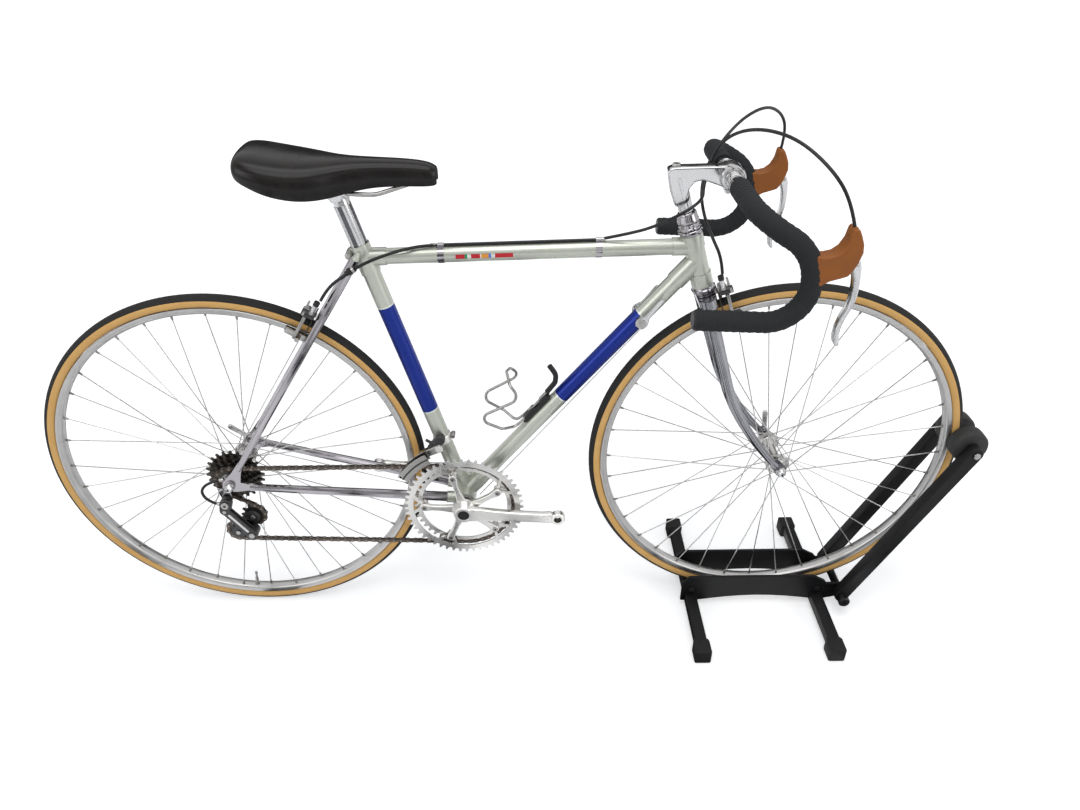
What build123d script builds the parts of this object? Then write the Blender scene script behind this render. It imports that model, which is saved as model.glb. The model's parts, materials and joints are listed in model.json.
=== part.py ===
"""A lugged steel road bicycle of about 1980, parked with its front wheel in a floor stand.

Millimetres. +X points forward, +Y to the rider's left, +Z up, and the floor is z = 0.
The origin is on the floor at the middle of the whole length. The drive side is -Y.
"""

import os
from math import asin, atan2, cos, pi, radians, sin, sqrt, tan

from build123d import *

os.makedirs("parts", exist_ok=True)

# ---------------------------------------------------------------- driving dimensions
# wheels
tyre_radius = 336.0
tyre_width = 22.0
tyre_depth = 21.0  # from the rim's bed to the tread
rim_bed_radius = tyre_radius - tyre_depth
rim_depth = 12.0
rim_inner_radius = rim_bed_radius - rim_depth
rim_width = 20.5
glue_line = 0.3  # between a tubular tyre and its rim
spoke_count = 36
spoke_crossings = 3
spoke_size = 2.0
flange_radius = 21.0
flange_thickness = 3.0
spoke_circle_radius = 17.5
valve_radius = 3.0
valve_length = 32.0  # showing inside the rim
hub_shell_radius = 9.0
axle_radius = 4.8
running_gap = 0.06  # radial, wherever a part turns on another
front_dropout_gap = 100.0  # between the fork's dropouts
rear_dropout_gap = 126.0

# layout
rear_axle_x = -502.0
wheelbase = 967.0
front_wheel_lift = 11.0  # the stand holds the front wheel this high
tyre_to_seat_tube = 18.75  # room in front of the rear tyre
bracket_height = 266.0
seat_lean = 16.0  # degrees back from upright
head_lean = 17.5
seat_tube_length = 486.0  # bottom bracket to the top tube's centre line
fork_rake = 56.0
fork_length = 358.0  # front axle to the crown race, along the steering axis
lower_stack = 12.0  # crown race and lower cup
head_tube_length = 89.0
top_lug_height = 21.4  # from the top tube's centre line to the head tube's top
down_tube_rise = 44.5  # from the head tube's foot to the down tube's centre line
bridge_gap = 5.0  # between the rear tyre and the brake bridge
upper_stack = 37.0  # upper cup and nuts

# frame tubes
main_tube_radius = 14.3
top_tube_radius = 12.7
head_tube_radius = 15.9
lug_wall = 1.6
lug_reach = 34.0  # from the head tube's axis to the top tube socket's mouth
head_ring_height = 22.0
down_socket = 48.0
shell_socket = 44.0  # from the bottom bracket's axis to its sockets' mouths
chainstay_radius = 9.0
chainstay_tip_radius = 6.5
seatstay_radius = 7.5
seatstay_tip_radius = 5.5
shell_radius = 20.5
shell_width = 70.0
dropout_thickness = 5.0

# seat
post_radius = 13.6
post_exposed = 78.0
saddle_length = 284.0
saddle_width = 148.0
saddle_nose_width = 46.0

# steering
steerer_radius = 12.7
crown_width = 78.0
crown_thickness = 15.0
crown_half_depth = 14.5
blade_half_depth = 13.0
blade_half_width = 8.5
blade_tip_radius = 6.0
blade_bottom_spread = 54.0  # blade centre to the middle plane, at the axle
stem_radius = 11.1
stem_reach = 79.0
stem_rise = 57.0  # locknut to the extension's centre line, along the axis
bar_radius = 12.7
bar_half_width = 182.0
bar_reach = 82.0
bar_drop = 153.0
bar_ramp = 50.0  # how far the bar has come down where its hook begins
bar_tail = 72.0  # the ends' reach behind the clamp
tape_radius = 15.5
tape_start = 58.0  # bare bar each side of the stem

# drive
ring_pitch = 12.7
big_ring_teeth = 52
small_ring_teeth = 44
big_ring_y = -47.0
small_ring_y = -40.0
ring_thickness = 2.2
bolt_circle_radius = 72.0
crank_length = 170.0
lever_boss_reach = 129.4  # from the head tube's axis to the shift levers
crank_droop = 4.4  # degrees below horizontal, right crank forward
crank_thickness = 13.0
crank_inner_y = 58.0
pedal_thread_radius = 7.1
spindle_radius = 8.5
cog_teeth = (14, 16, 18, 21, 24)
cog_pitch = 5.4  # from cog to cog
first_cog_y = -54.5
cog_thickness = 2.0
freewheel_bore = 14.0
freewheel_body_radius = 22.0
chain_height = 8.5
chain_width = 6.0
pulley_teeth = 10

# stand
foot_inner = 114.0  # from the front axle to each foot's near edge
foot_half_length = 184.0
foot_size = 22.0
cap_size = 31.0
cap_length = 32.0
rail_spread = 37.0
rail_height = 43.0
pivot_reach = 34.0  # from the front foot to the arms' pivot
rail_thickness = 6.0
arm_length = 382.0
arm_lean = 64.0
arm_width = 26.0
arm_thickness = 20.0
grip_radius = 32.0

on_base = (Align.CENTER, Align.CENTER, Align.MIN)


# ---------------------------------------------------------------- places worked out from them
def at(x, z, y=0.0):
    """A point from its place in the side view, and its distance to the left."""
    return Vector(x, y, z)


rear_axle = at(rear_axle_x, tyre_radius)
front_axle = at(rear_axle_x + wheelbase, tyre_radius + front_wheel_lift)
bracket_drop = tyre_radius - bracket_height
seat_tube_room = tyre_radius + tyre_to_seat_tube + main_tube_radius
bracket_forward = (seat_tube_room + bracket_drop * sin(radians(seat_lean))) / cos(radians(seat_lean))
bracket = at(rear_axle_x + bracket_forward, bracket_height)
seat_up = at(-sin(radians(seat_lean)), cos(radians(seat_lean)))
seat_node = bracket + seat_up * seat_tube_length
steer_up = at(-sin(radians(head_lean)), cos(radians(head_lean)))
steer_forward = at(cos(radians(head_lean)), sin(radians(head_lean)))
crown_race = front_axle - steer_forward * fork_rake + steer_up * fork_length
head_low = crown_race + steer_up * lower_stack
head_high = head_low + steer_up * head_tube_length
locknut_top = head_high + steer_up * upper_stack
top_tube_head = head_high - steer_up * top_lug_height
top_tube_way = (top_tube_head - seat_node).normalized()
down_tube_head = head_low + steer_up * down_tube_rise
down_tube_way = (down_tube_head - bracket).normalized()
down_tube_normal = at(-down_tube_way.Z, down_tube_way.X)


def pitch_radius(teeth):
    return ring_pitch / (2 * sin(pi / teeth))


# ---------------------------------------------------------------- shapes used more than once
def bar(start, end, radius, mode=Mode.ADD):
    """A round bar from one point to another."""
    with Locations(Plane(origin=start, z_dir=end - start)):
        Cylinder(radius, (end - start).length, align=on_base, mode=mode)


def taper(start, end, radius, end_radius, sides=12, mode=Mode.ADD):
    """A tapered bar from one point to another, drawn with flat sides to stay light."""
    base = Plane(origin=start, z_dir=end - start)
    with BuildSketch(base) as low:
        RegularPolygon(radius, sides)
    with BuildSketch(base.offset((end - start).length)) as high:
        RegularPolygon(end_radius, sides)
    loft([low.sketch, high.sketch], ruled=True, mode=mode)


def beam(start, end, width, height, mode=Mode.ADD):
    """A square-edged bar; its width lies along Y where it can."""
    way = end - start
    side = Vector(0, 1, 0) - way * (way.Y / way.length**2)
    with Locations(Plane(origin=start, x_dir=side, z_dir=way)):
        Box(width, height, way.length, align=on_base, mode=mode)


def crossbar(x, z, y_low, y_high, size, mode=Mode.ADD):
    """A square bar from left to right."""
    with Locations(Vector(x, (y_low + y_high) / 2, z)):
        Box(size, y_high - y_low, size, mode=mode)


def side_plane(y):
    """The side view's plane at a distance to the left: X across, Z up, facing the drive side."""
    return Plane.XZ.offset(-y)


def ring(centre, radius, y_low, y_high, mode=Mode.ADD):
    """A disc about a left-right axis."""
    with Locations(Plane(origin=(centre.X, y_high, centre.Z), x_dir=(1, 0, 0), z_dir=(0, -1, 0))):
        Cylinder(radius, y_high - y_low, align=on_base, mode=mode)


def lathe(centre, outline):
    """A body turned about the left-right axis through centre, from (y, radius) corners."""
    plane = Plane(origin=centre, x_dir=(0, 1, 0), z_dir=(-1, 0, 0))
    with BuildSketch(plane) as section:
        with BuildLine():
            Polyline(outline, close=True)
        make_face()
    revolve(section.sketch, axis=Axis(centre, (0, 1, 0)))


def both_sides(half):
    """A closed outline from its half at positive y, both given as (y, radius)."""
    return half + [(-y, radius) for y, radius in reversed(half)]


def finish(piece, name):
    piece.part.label = name
    export_step(piece.part, f"parts/{name}.step")


# ---------------------------------------------------------------- wheels
tyre_half = [
    (7.0, rim_bed_radius + glue_line),
    (tyre_width / 2, rim_bed_radius + 7.0),
    (tyre_width / 2 - 2.0, tyre_radius - 5.0),
]
rim_half = [
    (5.0, rim_inner_radius),
    (rim_width / 2, rim_inner_radius + 5.0),
    (rim_width / 2, rim_bed_radius),
]


def wheel(name, axle, flange_left, flange_right, hub_ends, right_boss, valve_angle):
    """Tyre, rim, valve, spokes and hub shell of one wheel; right_boss is the hub's radius at that end."""
    with BuildPart() as tyre:
        lathe(axle, tyre_half + [(0.0, tyre_radius)] + both_sides(tyre_half)[len(tyre_half):])
    finish(tyre, f"{name}_tyre")

    with BuildPart() as rim:
        lathe(axle, both_sides(rim_half))
        valve_way = at(cos(radians(valve_angle)), sin(radians(valve_angle)))
        valve_foot = axle + valve_way * (rim_inner_radius + 2.0)
        valve_tip = axle + valve_way * (rim_inner_radius - valve_length)
        taper(valve_foot, valve_tip, valve_radius, valve_radius, 6)
    finish(rim, f"{name}_rim")

    hole_step = 720 / spoke_count
    sweep_angle = 720 * spoke_crossings / spoke_count
    with BuildPart() as spokes:
        for side, flange_y in ((1, flange_left), (-1, flange_right)):
            for hole in range(spoke_count // 2):
                lead = 1 if hole % 2 else -1
                hub_angle = radians(hole_step * hole + (hole_step / 2 if side > 0 else 0))
                rim_angle = hub_angle + radians(lead * sweep_angle)
                beside = (flange_thickness + spoke_size) / 2 + (1.4 if lead > 0 else 0.2)
                inner = axle + Vector(
                    spoke_circle_radius * cos(hub_angle),
                    flange_y + side * lead * beside,
                    spoke_circle_radius * sin(hub_angle),
                )
                reach = rim_inner_radius - 0.5
                outer = axle + Vector(reach * cos(rim_angle), side * 2.5, reach * sin(rim_angle))
                with BuildSketch(Plane(origin=inner, z_dir=outer - inner)) as section:
                    RegularPolygon(spoke_size / 2, 6)
                extrude(section.sketch, amount=(outer - inner).length)
    finish(spokes, f"{name}_spokes")

    left_end, right_end = hub_ends
    half_flange = flange_thickness / 2
    bore = axle_radius + running_gap
    with BuildPart() as hub:
        lathe(
            axle,
            [
                (left_end, bore),
                (left_end, 9.5),
                (flange_left + half_flange, 9.5),
                (flange_left + half_flange, flange_radius),
                (flange_left - half_flange, flange_radius),
                (flange_left - half_flange, hub_shell_radius),
                (flange_right + half_flange, hub_shell_radius),
                (flange_right + half_flange, flange_radius),
                (flange_right - half_flange, flange_radius),
                (flange_right - half_flange, right_boss),
                (right_end, right_boss),
                (right_end, bore),
            ],
        )
    finish(hub, f"{name}_hub")


wheel("front", front_axle, 34.0, -34.0, (44.0, -44.0), 9.5, 75.0)
wheel("rear", rear_axle, 34.0, -20.0, (57.0, -57.0), freewheel_bore - running_gap, -95.0)


def skewer(axle, gap, plate, lever_tip):
    """Axle, locknuts and quick release of one wheel, held by the dropouts."""
    outer = gap / 2 + plate
    with BuildPart() as piece:
        ring(axle, axle_radius, -gap / 2, gap / 2)
        for side in (1, -1):
            inner_y, outer_y = sorted((side * (gap / 2 - 5.0), side * gap / 2))
            ring(axle, 8.0, inner_y, outer_y)
        ring(axle, axle_radius, -outer, outer)
        ring(axle, 9.0, -outer - 12.0, -outer)
        ring(axle, 9.0, outer, outer + 14.0)
        start = axle + Vector(0, outer + 9.0, 0)
        taper(start, lever_tip, 5.0, 3.5, 6)
    return piece


front_lever_tip = front_axle + Vector(-5.0, front_dropout_gap / 2 + 16.0, 50.0)
rear_lever_tip = rear_axle + Vector(-38.0, rear_dropout_gap / 2 + 22.0, 30.0)
finish(skewer(front_axle, front_dropout_gap, dropout_thickness, front_lever_tip), "front_skewer")
finish(skewer(rear_axle, rear_dropout_gap, dropout_thickness, rear_lever_tip), "rear_skewer")

# ---------------------------------------------------------------- frame
with BuildPart() as head_tube:
    bar(head_low, head_high, head_tube_radius)
    for end, way in ((head_low, steer_up), (head_high, steer_up * -1)):
        bar(end, end + way * head_ring_height, head_tube_radius + lug_wall)
    bar(down_tube_head, down_tube_head - down_tube_way * down_socket, main_tube_radius + lug_wall)
    bar(top_tube_head, top_tube_head - top_tube_way * lug_reach, top_tube_radius + lug_wall)
    bar(head_low - steer_up, head_high + steer_up, steerer_radius + 0.6, mode=Mode.SUBTRACT)
finish(head_tube, "head_tube")

with BuildPart() as top_tube:
    bar(
        seat_node + top_tube_way * lug_reach,
        top_tube_head - top_tube_way * lug_reach,
        top_tube_radius,
    )
finish(top_tube, "top_tube")

with BuildPart() as down_tube:
    bar(
        bracket + down_tube_way * shell_socket,
        down_tube_head - down_tube_way * down_socket,
        main_tube_radius,
    )
finish(down_tube, "down_tube")

seat_lug_low = seat_node - seat_up * 26.0
seat_lug_top = seat_node + seat_up * 22.0
with BuildPart() as seat_lug:
    bar(seat_lug_low, seat_lug_top, main_tube_radius + lug_wall)
    bar(seat_node, seat_node + top_tube_way * lug_reach, top_tube_radius + lug_wall)
    back = seat_node - at(seat_up.Z, -seat_up.X) * (main_tube_radius + 6.0) + seat_up * 12.0
    bar(back - Vector(0, 11, 0), back + Vector(0, 11, 0), 6.0)
    bar(seat_lug_low - seat_up, seat_lug_top + seat_up, post_radius + 0.1, mode=Mode.SUBTRACT)
finish(seat_lug, "seat_lug")

with BuildPart() as seat_tube:
    bar(bracket + seat_up * shell_socket, seat_lug_low, main_tube_radius)
finish(seat_tube, "seat_tube")

post_head = seat_lug_top + seat_up * post_exposed
clamp = post_head + at(0.0, 9.0)
rail_radius = 3.5
neck_radius = 9.5  # the post narrows under its clamp
yoke_radius = 11.0
rail_y = 22.0
rail_points = [(-104.0, 32.0, 33.0), (-80.0, rail_y, 8.0), (58.0, rail_y, 0.0), (134.0, 8.0, 20.0)]


def rails(radius, mode=Mode.ADD):
    """Both saddle rails, as straight bars from point to point."""
    for side in (1, -1):
        spots = [clamp + Vector(x, side * y, z) for x, y, z in rail_points]
        for start, end in zip(spots, spots[1:]):
            bar(start, end, radius, mode=mode)


with BuildPart() as seatpost:
    bar(seat_lug_low + seat_up * 4.0, post_head, post_radius)
    bar(post_head - seat_up * 8.0, clamp, neck_radius)
    ring(clamp, yoke_radius, -rail_y - 7.0, rail_y + 7.0)
    rails(rail_radius + 0.05, mode=Mode.SUBTRACT)
finish(seatpost, "seatpost")

dropout_y = rear_dropout_gap / 2
stay_end_y = dropout_y + dropout_thickness / 2
socket_length = 34.0


def mirrored(spot, side):
    return Vector(spot.X, side * spot.Y, spot.Z)


chainstay_start = bracket + Vector(0, 19.0, 0)
chainstay_end = rear_axle + at(34.0, -4.0, stay_end_y)
chainstay_mouth = chainstay_start + (chainstay_end - chainstay_start).normalized() * socket_length
seatstay_start = seat_node + at(-11.0, 4.0, 21.6)
seatstay_end = rear_axle + at(20.0, 34.0, stay_end_y)

with BuildPart() as bottom_bracket:
    ring(bracket, shell_radius, -shell_width / 2, shell_width / 2)
    bar(bracket, bracket + down_tube_way * shell_socket, main_tube_radius + lug_wall)
    bar(bracket, bracket + seat_up * shell_socket, main_tube_radius + lug_wall)
    for side in (1, -1):
        bar(mirrored(chainstay_start, side), mirrored(chainstay_mouth, side), chainstay_radius + lug_wall)
    ring(bracket, spindle_radius + running_gap, -shell_width, shell_width, mode=Mode.SUBTRACT)
finish(bottom_bracket, "bottom_bracket")

with BuildPart() as dropouts:
    for y_high in (dropout_y + dropout_thickness, -dropout_y):
        with BuildSketch(side_plane(y_high)) as plate:
            with BuildLine():
                Polyline(
                    (chainstay_end.X + 14.0, chainstay_end.Z + 3.0),
                    (chainstay_end.X + 14.0, chainstay_end.Z - 3.0),
                    (rear_axle.X + 12.0, rear_axle.Z - 12.0),
                    (rear_axle.X - 6.0, rear_axle.Z - 12.0),
                    (rear_axle.X - 13.0, rear_axle.Z - 3.0),
                    (rear_axle.X - 11.0, rear_axle.Z + 8.0),
                    (seatstay_end.X - 12.0, seatstay_end.Z - 5.0),
                    (seatstay_end.X + 2.0, seatstay_end.Z + 14.0),
                    (seatstay_end.X + 10.0, seatstay_end.Z + 10.0),
                    (seatstay_end.X + 4.0, seatstay_end.Z - 8.0),
                    (rear_axle.X + 20.0, rear_axle.Z + 8.0),
                    close=True,
                )
            make_face()
            with Locations((rear_axle.X, rear_axle.Z)):
                Circle(axle_radius + 0.05, mode=Mode.SUBTRACT)
        extrude(plate.sketch, amount=dropout_thickness)
finish(dropouts, "dropouts")

with BuildPart() as chainstays:
    for side in (1, -1):
        taper(
            mirrored(chainstay_mouth, side),
            mirrored(chainstay_end, side),
            chainstay_radius,
            chainstay_tip_radius,
        )
    add(dropouts.part, mode=Mode.SUBTRACT)
finish(chainstays, "chainstays")

with BuildPart() as seatstays:
    for side in (1, -1):
        taper(
            mirrored(seatstay_start, side),
            mirrored(seatstay_end, side),
            seatstay_radius,
            seatstay_tip_radius,
        )
    add(dropouts.part, mode=Mode.SUBTRACT)
finish(seatstays, "seatstays")

# ---------------------------------------------------------------- seat
with BuildPart() as saddle_rails:
    rails(rail_radius)
finish(saddle_rails, "saddle_rails")

saddle_back = clamp.X - 0.47 * saddle_length
saddle_low = clamp.Z + 2.0
saddle_sections = [  # share of the length, share of the half width, lower edge, crown
    (0.0, 0.42, 48.0, 58.0),
    (0.02, 0.62, 42.0, 63.0),
    (0.07, 0.88, 30.0, 64.0),
    (0.16, 1.0, 17.0, 57.0),
    (0.28, 0.98, 5.0, 48.0),
    (0.38, 0.83, 0.5, 44.0),
    (0.47, 0.58, 0.0, 42.0),
    (0.56, 0.40, 3.0, 41.0),
    (0.68, 0.32, 9.0, 40.0),
    (0.88, 0.27, 9.0, 37.0),
    (0.96, 0.22, 8.0, 33.0),
    (1.0, 0.10, 12.0, 25.0),
]
saddle_crown_points = [(0.94, 0.0), (1.0, 0.30), (0.93, 0.62), (0.72, 0.86), (0.40, 0.97), (0.0, 1.0)]


def saddle_slice(share, width_share, low, high):
    """One cross-section of the saddle, low at its sides and crowned in the middle."""
    half = saddle_width / 2 * width_share
    depth = high - low
    plane = Plane(origin=(saddle_back + saddle_length * share, 0, saddle_low + low), x_dir=(0, 1, 0), z_dir=(1, 0, 0))
    right = [(half * across, depth * up) for across, up in saddle_crown_points]
    with BuildSketch(plane) as piece:
        with BuildLine():
            Polyline(right + [(-x, z) for x, z in reversed(right[:-1])], close=True)
        make_face()
    return piece.sketch


hollow_height = 24.0  # the room for the clamp, up from the saddle's lowest edge
with BuildPart() as saddle:
    loft([saddle_slice(*section) for section in saddle_sections], ruled=True)
    with BuildSketch(Plane.XY.offset(saddle_low - 10.0)) as hollow:
        with BuildLine():
            Polyline(
                (saddle_back + 0.09 * saddle_length, 0),
                (saddle_back + 0.09 * saddle_length, 0.32 * saddle_width),
                (saddle_back + 0.28 * saddle_length, 0.40 * saddle_width),
                (saddle_back + 0.39 * saddle_length, 0.32 * saddle_width),
                (clamp.X + 16.0, rail_y + 8.0),
                (saddle_back + 0.67 * saddle_length, 0.33 * saddle_nose_width),
                (saddle_back + 0.87 * saddle_length, 0.15 * saddle_nose_width),
                (saddle_back + 0.87 * saddle_length, 0),
                close=True,
            )
        make_face()
        mirror(about=Plane.XZ)
    extrude(hollow.sketch, amount=hollow_height + 10.0, mode=Mode.SUBTRACT)
    rails(rail_radius + 0.3, mode=Mode.SUBTRACT)
finish(saddle, "saddle")

# ---------------------------------------------------------------- fork
crown_centre = crown_race - steer_up * (crown_thickness / 2)
crown_plane = Plane(origin=crown_race, x_dir=steer_forward, z_dir=steer_up)
blade_top_y = crown_width / 2 - blade_half_width
with BuildPart() as fork_crown:
    with BuildSketch(crown_plane) as outline:
        SlotCenterToCenter(2 * blade_top_y, 2 * crown_half_depth, rotation=90)
    extrude(outline.sketch, amount=-crown_thickness)
    bar(crown_centre, locknut_top - steer_up * 4.0, steerer_radius)
finish(fork_crown, "fork_crown")

blade_steps = 6
blade_top = crown_race - steer_up * crown_thickness
blade_run = fork_length - crown_thickness
blade_straight = 0.42  # share of the blade before its bend


def blade_point(share):
    """Centre of the right-hand blade's mirror image, from the crown (0) to the axle (1)."""
    bent = max(0.0, share - blade_straight) / (1 - blade_straight)
    spread = blade_top_y + (blade_bottom_spread - blade_top_y) * share
    forward = fork_rake * bent**1.8 - 2.0 * (1 - share)
    return blade_top - steer_up * (blade_run * share) + steer_forward * forward + Vector(0, spread, 0)


def oval(half_length, half_width, sides):
    """Corners of a flat-sided oval."""
    turns = [2 * pi * side / sides for side in range(sides)]
    return [(half_length * cos(turn), half_width * sin(turn)) for turn in turns]


def blade_half():
    """One fork blade, oval at the crown and round at its tip."""
    with BuildPart() as half:
        for step in range(blade_steps):
            share = 0.965 * step / (blade_steps - 1)
            slope = blade_point(share) - blade_point(share + 0.02)
            width = blade_half_width + (blade_tip_radius - blade_half_width) * share
            depth = blade_half_depth + (blade_tip_radius - blade_half_depth) * share
            way = steer_up if step == 0 else slope
            fore = steer_forward - way * (steer_forward.dot(way) / way.length**2)
            with BuildSketch(Plane(origin=blade_point(share), x_dir=fore, z_dir=way)):
                with BuildLine():
                    Polyline(oval(depth, width, 12), close=True)
                make_face()
        loft(ruled=True)
    return half.part


fork_dropout_y = front_dropout_gap / 2
blade_tip = blade_point(0.965)
with BuildPart() as fork_tips:
    for y_high in (fork_dropout_y + dropout_thickness, -fork_dropout_y):
        with BuildSketch(side_plane(y_high)) as plate:
            with BuildLine():
                Polyline(
                    (blade_tip.X - 10.0, blade_tip.Z + 6.0),
                    (blade_tip.X + 2.0, blade_tip.Z + 14.0),
                    (front_axle.X + 10.0, front_axle.Z + 6.0),
                    (front_axle.X + 10.0, front_axle.Z - 9.0),
                    (front_axle.X - 6.0, front_axle.Z - 10.0),
                    close=True,
                )
            make_face()
            with Locations((front_axle.X, front_axle.Z)):
                Circle(axle_radius + 0.05, mode=Mode.SUBTRACT)
        extrude(plate.sketch, amount=dropout_thickness)
finish(fork_tips, "fork_tips")

with BuildPart() as fork_blades:
    half = blade_half()
    add(half)
    add(half.mirror(Plane.XZ))
    add(fork_tips.part, mode=Mode.SUBTRACT)
finish(fork_blades, "fork_blades")

# headset
with BuildPart() as headset_cups:
    bar(crown_race + steer_up * 4.5, crown_race + steer_up * 8.0, 19.5)
    bar(crown_race + steer_up * 8.0, head_low, head_tube_radius + 1.0)
    bar(head_high, head_high + steer_up * 4.0, head_tube_radius)
    bar(head_high + steer_up * 4.0, head_high + steer_up * 9.0, 19.0)
    bar(crown_race, head_high + steer_up * 20.0, steerer_radius + 0.6, mode=Mode.SUBTRACT)
finish(headset_cups, "headset_cups")

with BuildPart() as headset_nuts:
    bar(crown_race, crown_race + steer_up * 4.2, 18.0)
    bar(head_high + steer_up * 9.3, head_high + steer_up * 20.0, 17.5)
    bar(head_high + steer_up * 20.0, locknut_top, 16.0)
    bar(crown_race, locknut_top, steerer_radius + 0.05, mode=Mode.SUBTRACT)
finish(headset_nuts, "headset_nuts")

# stem and bars
stem_centre = locknut_top + steer_up * stem_rise
bar_centre = stem_centre + at(stem_reach, 0.0)
clamp_half_width = 20.0
with BuildPart() as stem:
    bar(locknut_top - steer_up * 3.9, stem_centre, stem_radius)
    with BuildSketch(side_plane(11.0)) as profile:
        with BuildLine():
            Polyline(
                (stem_centre.X - 15.0, stem_centre.Z + 12.0),
                (stem_centre.X - 8.0, stem_centre.Z + 15.0),
                (bar_centre.X, bar_centre.Z + 17.0),
                (bar_centre.X, bar_centre.Z - 17.0),
                (stem_centre.X + 54.0, stem_centre.Z - 10.0),
                (stem_centre.X + 36.0, stem_centre.Z - 3.0),
                (stem_centre.X + 24.0, stem_centre.Z - 6.0),
                (stem_centre.X + 17.0, stem_centre.Z - 16.0),
                (stem_centre.X + 17.0, stem_centre.Z - 36.0),
                (stem_centre.X + 5.0, stem_centre.Z - 44.0),
                close=True,
            )
        make_face()
    extrude(profile.sketch, amount=22.0)
    ring(bar_centre, 20.0, -clamp_half_width, clamp_half_width)
    ring(bar_centre, bar_radius + 0.05, -40, 40, mode=Mode.SUBTRACT)
finish(stem, "stem")

bar_corners = [
    bar_centre,
    bar_centre + Vector(0, bar_half_width, 0),
    bar_centre + Vector(bar_reach, bar_half_width, -bar_ramp),
    bar_centre + Vector(bar_reach, bar_half_width, -bar_drop),
    bar_centre + Vector(-bar_tail, bar_half_width, -bar_drop + 7.0),
]
bar_bends = [0.5 * bar_reach + 9.0, 0.9 * bar_reach, 0.36 * bar_drop]


def bar_path(start_y):
    """The bar's centre line from a distance out of the stem to its left end."""
    start = bar_centre + Vector(0, start_y, 0)
    return FilletPolyline(start, *bar_corners[1:], radius=bar_bends)


with BuildPart() as handlebar:
    ring(bar_centre, bar_radius, -tape_start, tape_start)
finish(handlebar, "handlebar")


def along_bar(radius, mode=Mode.ADD):
    """A flat-sided band of cloth tape round the left half of the bar."""
    with BuildLine() as path:
        bar_path(tape_start)
    with BuildSketch(Plane(origin=path.line @ 0, z_dir=path.line % 0)) as section:
        RegularPolygon(radius, 10)
    sweep(section.sketch, path=path.line, mode=mode)


with BuildPart() as bar_tape:
    along_bar(tape_radius)
    mirror(about=Plane.XZ)
finish(bar_tape, "bar_tape")

# levers and hoods
hood_spot = bar_centre + Vector(bar_reach, bar_half_width, -(bar_ramp + 18.0))
hood_outline = [
    (-4.0, 24.0),
    (18.0, 23.0),
    (29.0, 30.0),
    (35.0, 43.0),
    (38.0, 56.0),
    (47.0, 56.0),
    (52.0, 46.0),
    (57.0, 30.0),
    (57.0, 4.0),
    (55.0, -8.0),
    (47.0, -15.0),
    (31.0, -16.0),
    (16.0, -26.0),
    (2.0, -24.0),
]
lever_outline = [
    (57.5, 14.0),
    (62.0, 4.0),
    (65.5, -20.0),
    (66.5, -58.0),
    (57.0, -88.0),
    (58.5, -119.0),
    (50.5, -119.0),
    (49.0, -91.0),
    (57.0, -60.0),
    (56.0, -30.0),
    (53.0, -16.0),
    (56.0, -8.4),
    (57.5, 3.0),
]
hood_width = 27.0
lever_width = 15.0


def hung_on_bar(outline, width):
    """A plate of the left lever, from its side outline about the spot where it is clamped."""
    with BuildSketch(side_plane(bar_half_width + width / 2)) as profile:
        with BuildLine():
            Polyline([(hood_spot.X + x, hood_spot.Z + z) for x, z in outline], close=True)
        make_face()
    extrude(profile.sketch, amount=width)


with BuildPart() as lever_hoods:
    hung_on_bar(hood_outline, hood_width)
    along_bar(tape_radius + 0.3, mode=Mode.SUBTRACT)
    mirror(about=Plane.XZ)
finish(lever_hoods, "lever_hoods")

with BuildPart() as brake_levers:
    hung_on_bar(lever_outline, lever_width)
    mirror(about=Plane.XZ)
finish(brake_levers, "brake_levers")


# ---------------------------------------------------------------- brakes
def caliper(pivot, up, fore, reach, bolt_back):
    """A side-pull brake: pivot bolt, two curved arms and their pads."""
    plane = Plane(origin=pivot, x_dir=(0, 1, 0), z_dir=fore)
    down = -1 if (plane.y_dir.dot(up)) > 0 else 1
    with BuildPart() as brake:
        bar(pivot - fore * bolt_back, pivot + fore * 20.0, 4.0)
        for side, layer in ((1, 3.0), (-1, 9.0)):
            with BuildSketch(plane.offset(layer)) as arm:
                with BuildLine():
                    Polyline(
                        (side * -34.0, -down * 12.0),
                        (side * -32.0, -down * 22.0),
                        (side * 4.0, -down * 12.0),
                        (side * 26.0, down * 4.0),
                        (side * 33.0, down * 22.0),
                        (side * 31.0, down * (reach + 4.0)),
                        (side * 23.0, down * (reach + 4.0)),
                        (side * 24.0, down * 22.0),
                        (side * 16.0, down * 8.0),
                        (side * -4.0, down * 6.0),
                        close=True,
                    )
                make_face()
            extrude(arm.sketch, amount=5.9)
        for side in (1, -1):
            with Locations(plane * Location((side * 18.5, down * reach, 6.0))):
                Box(9.0, 10.0, 48.0)
        adjuster = pivot + fore * 6.0 + Vector(0, -33.0, 0)
        bar(adjuster + up * 14.0, adjuster + up * 41.0, 4.5)
    return brake


front_brake_pivot = crown_centre + steer_forward * (crown_half_depth + 6.0)
front_reach = (front_brake_pivot - front_axle).length - (rim_bed_radius - 5.0)
finish(caliper(front_brake_pivot, steer_up, steer_forward, front_reach, 5.9), "front_brake")

stay_length = (seatstay_start - seatstay_end).length


def stay_radius(share):
    """Radius of a seatstay at a share of its length up from the dropout."""
    return seatstay_tip_radius + (seatstay_radius - seatstay_tip_radius) * share


seatstay_way = (seatstay_start - seatstay_end).normalized()


def share_at_distance(start, end, centre, distance):
    """How far along a run its side view crosses a circle, from start (0) to end (1)."""
    run = at(end.X - start.X, end.Z - start.Z)
    away = at(start.X - centre.X, start.Z - centre.Z)
    half = away.dot(run)
    return (sqrt(half**2 - run.dot(run) * (away.dot(away) - distance**2)) - half) / run.dot(run)


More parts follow.
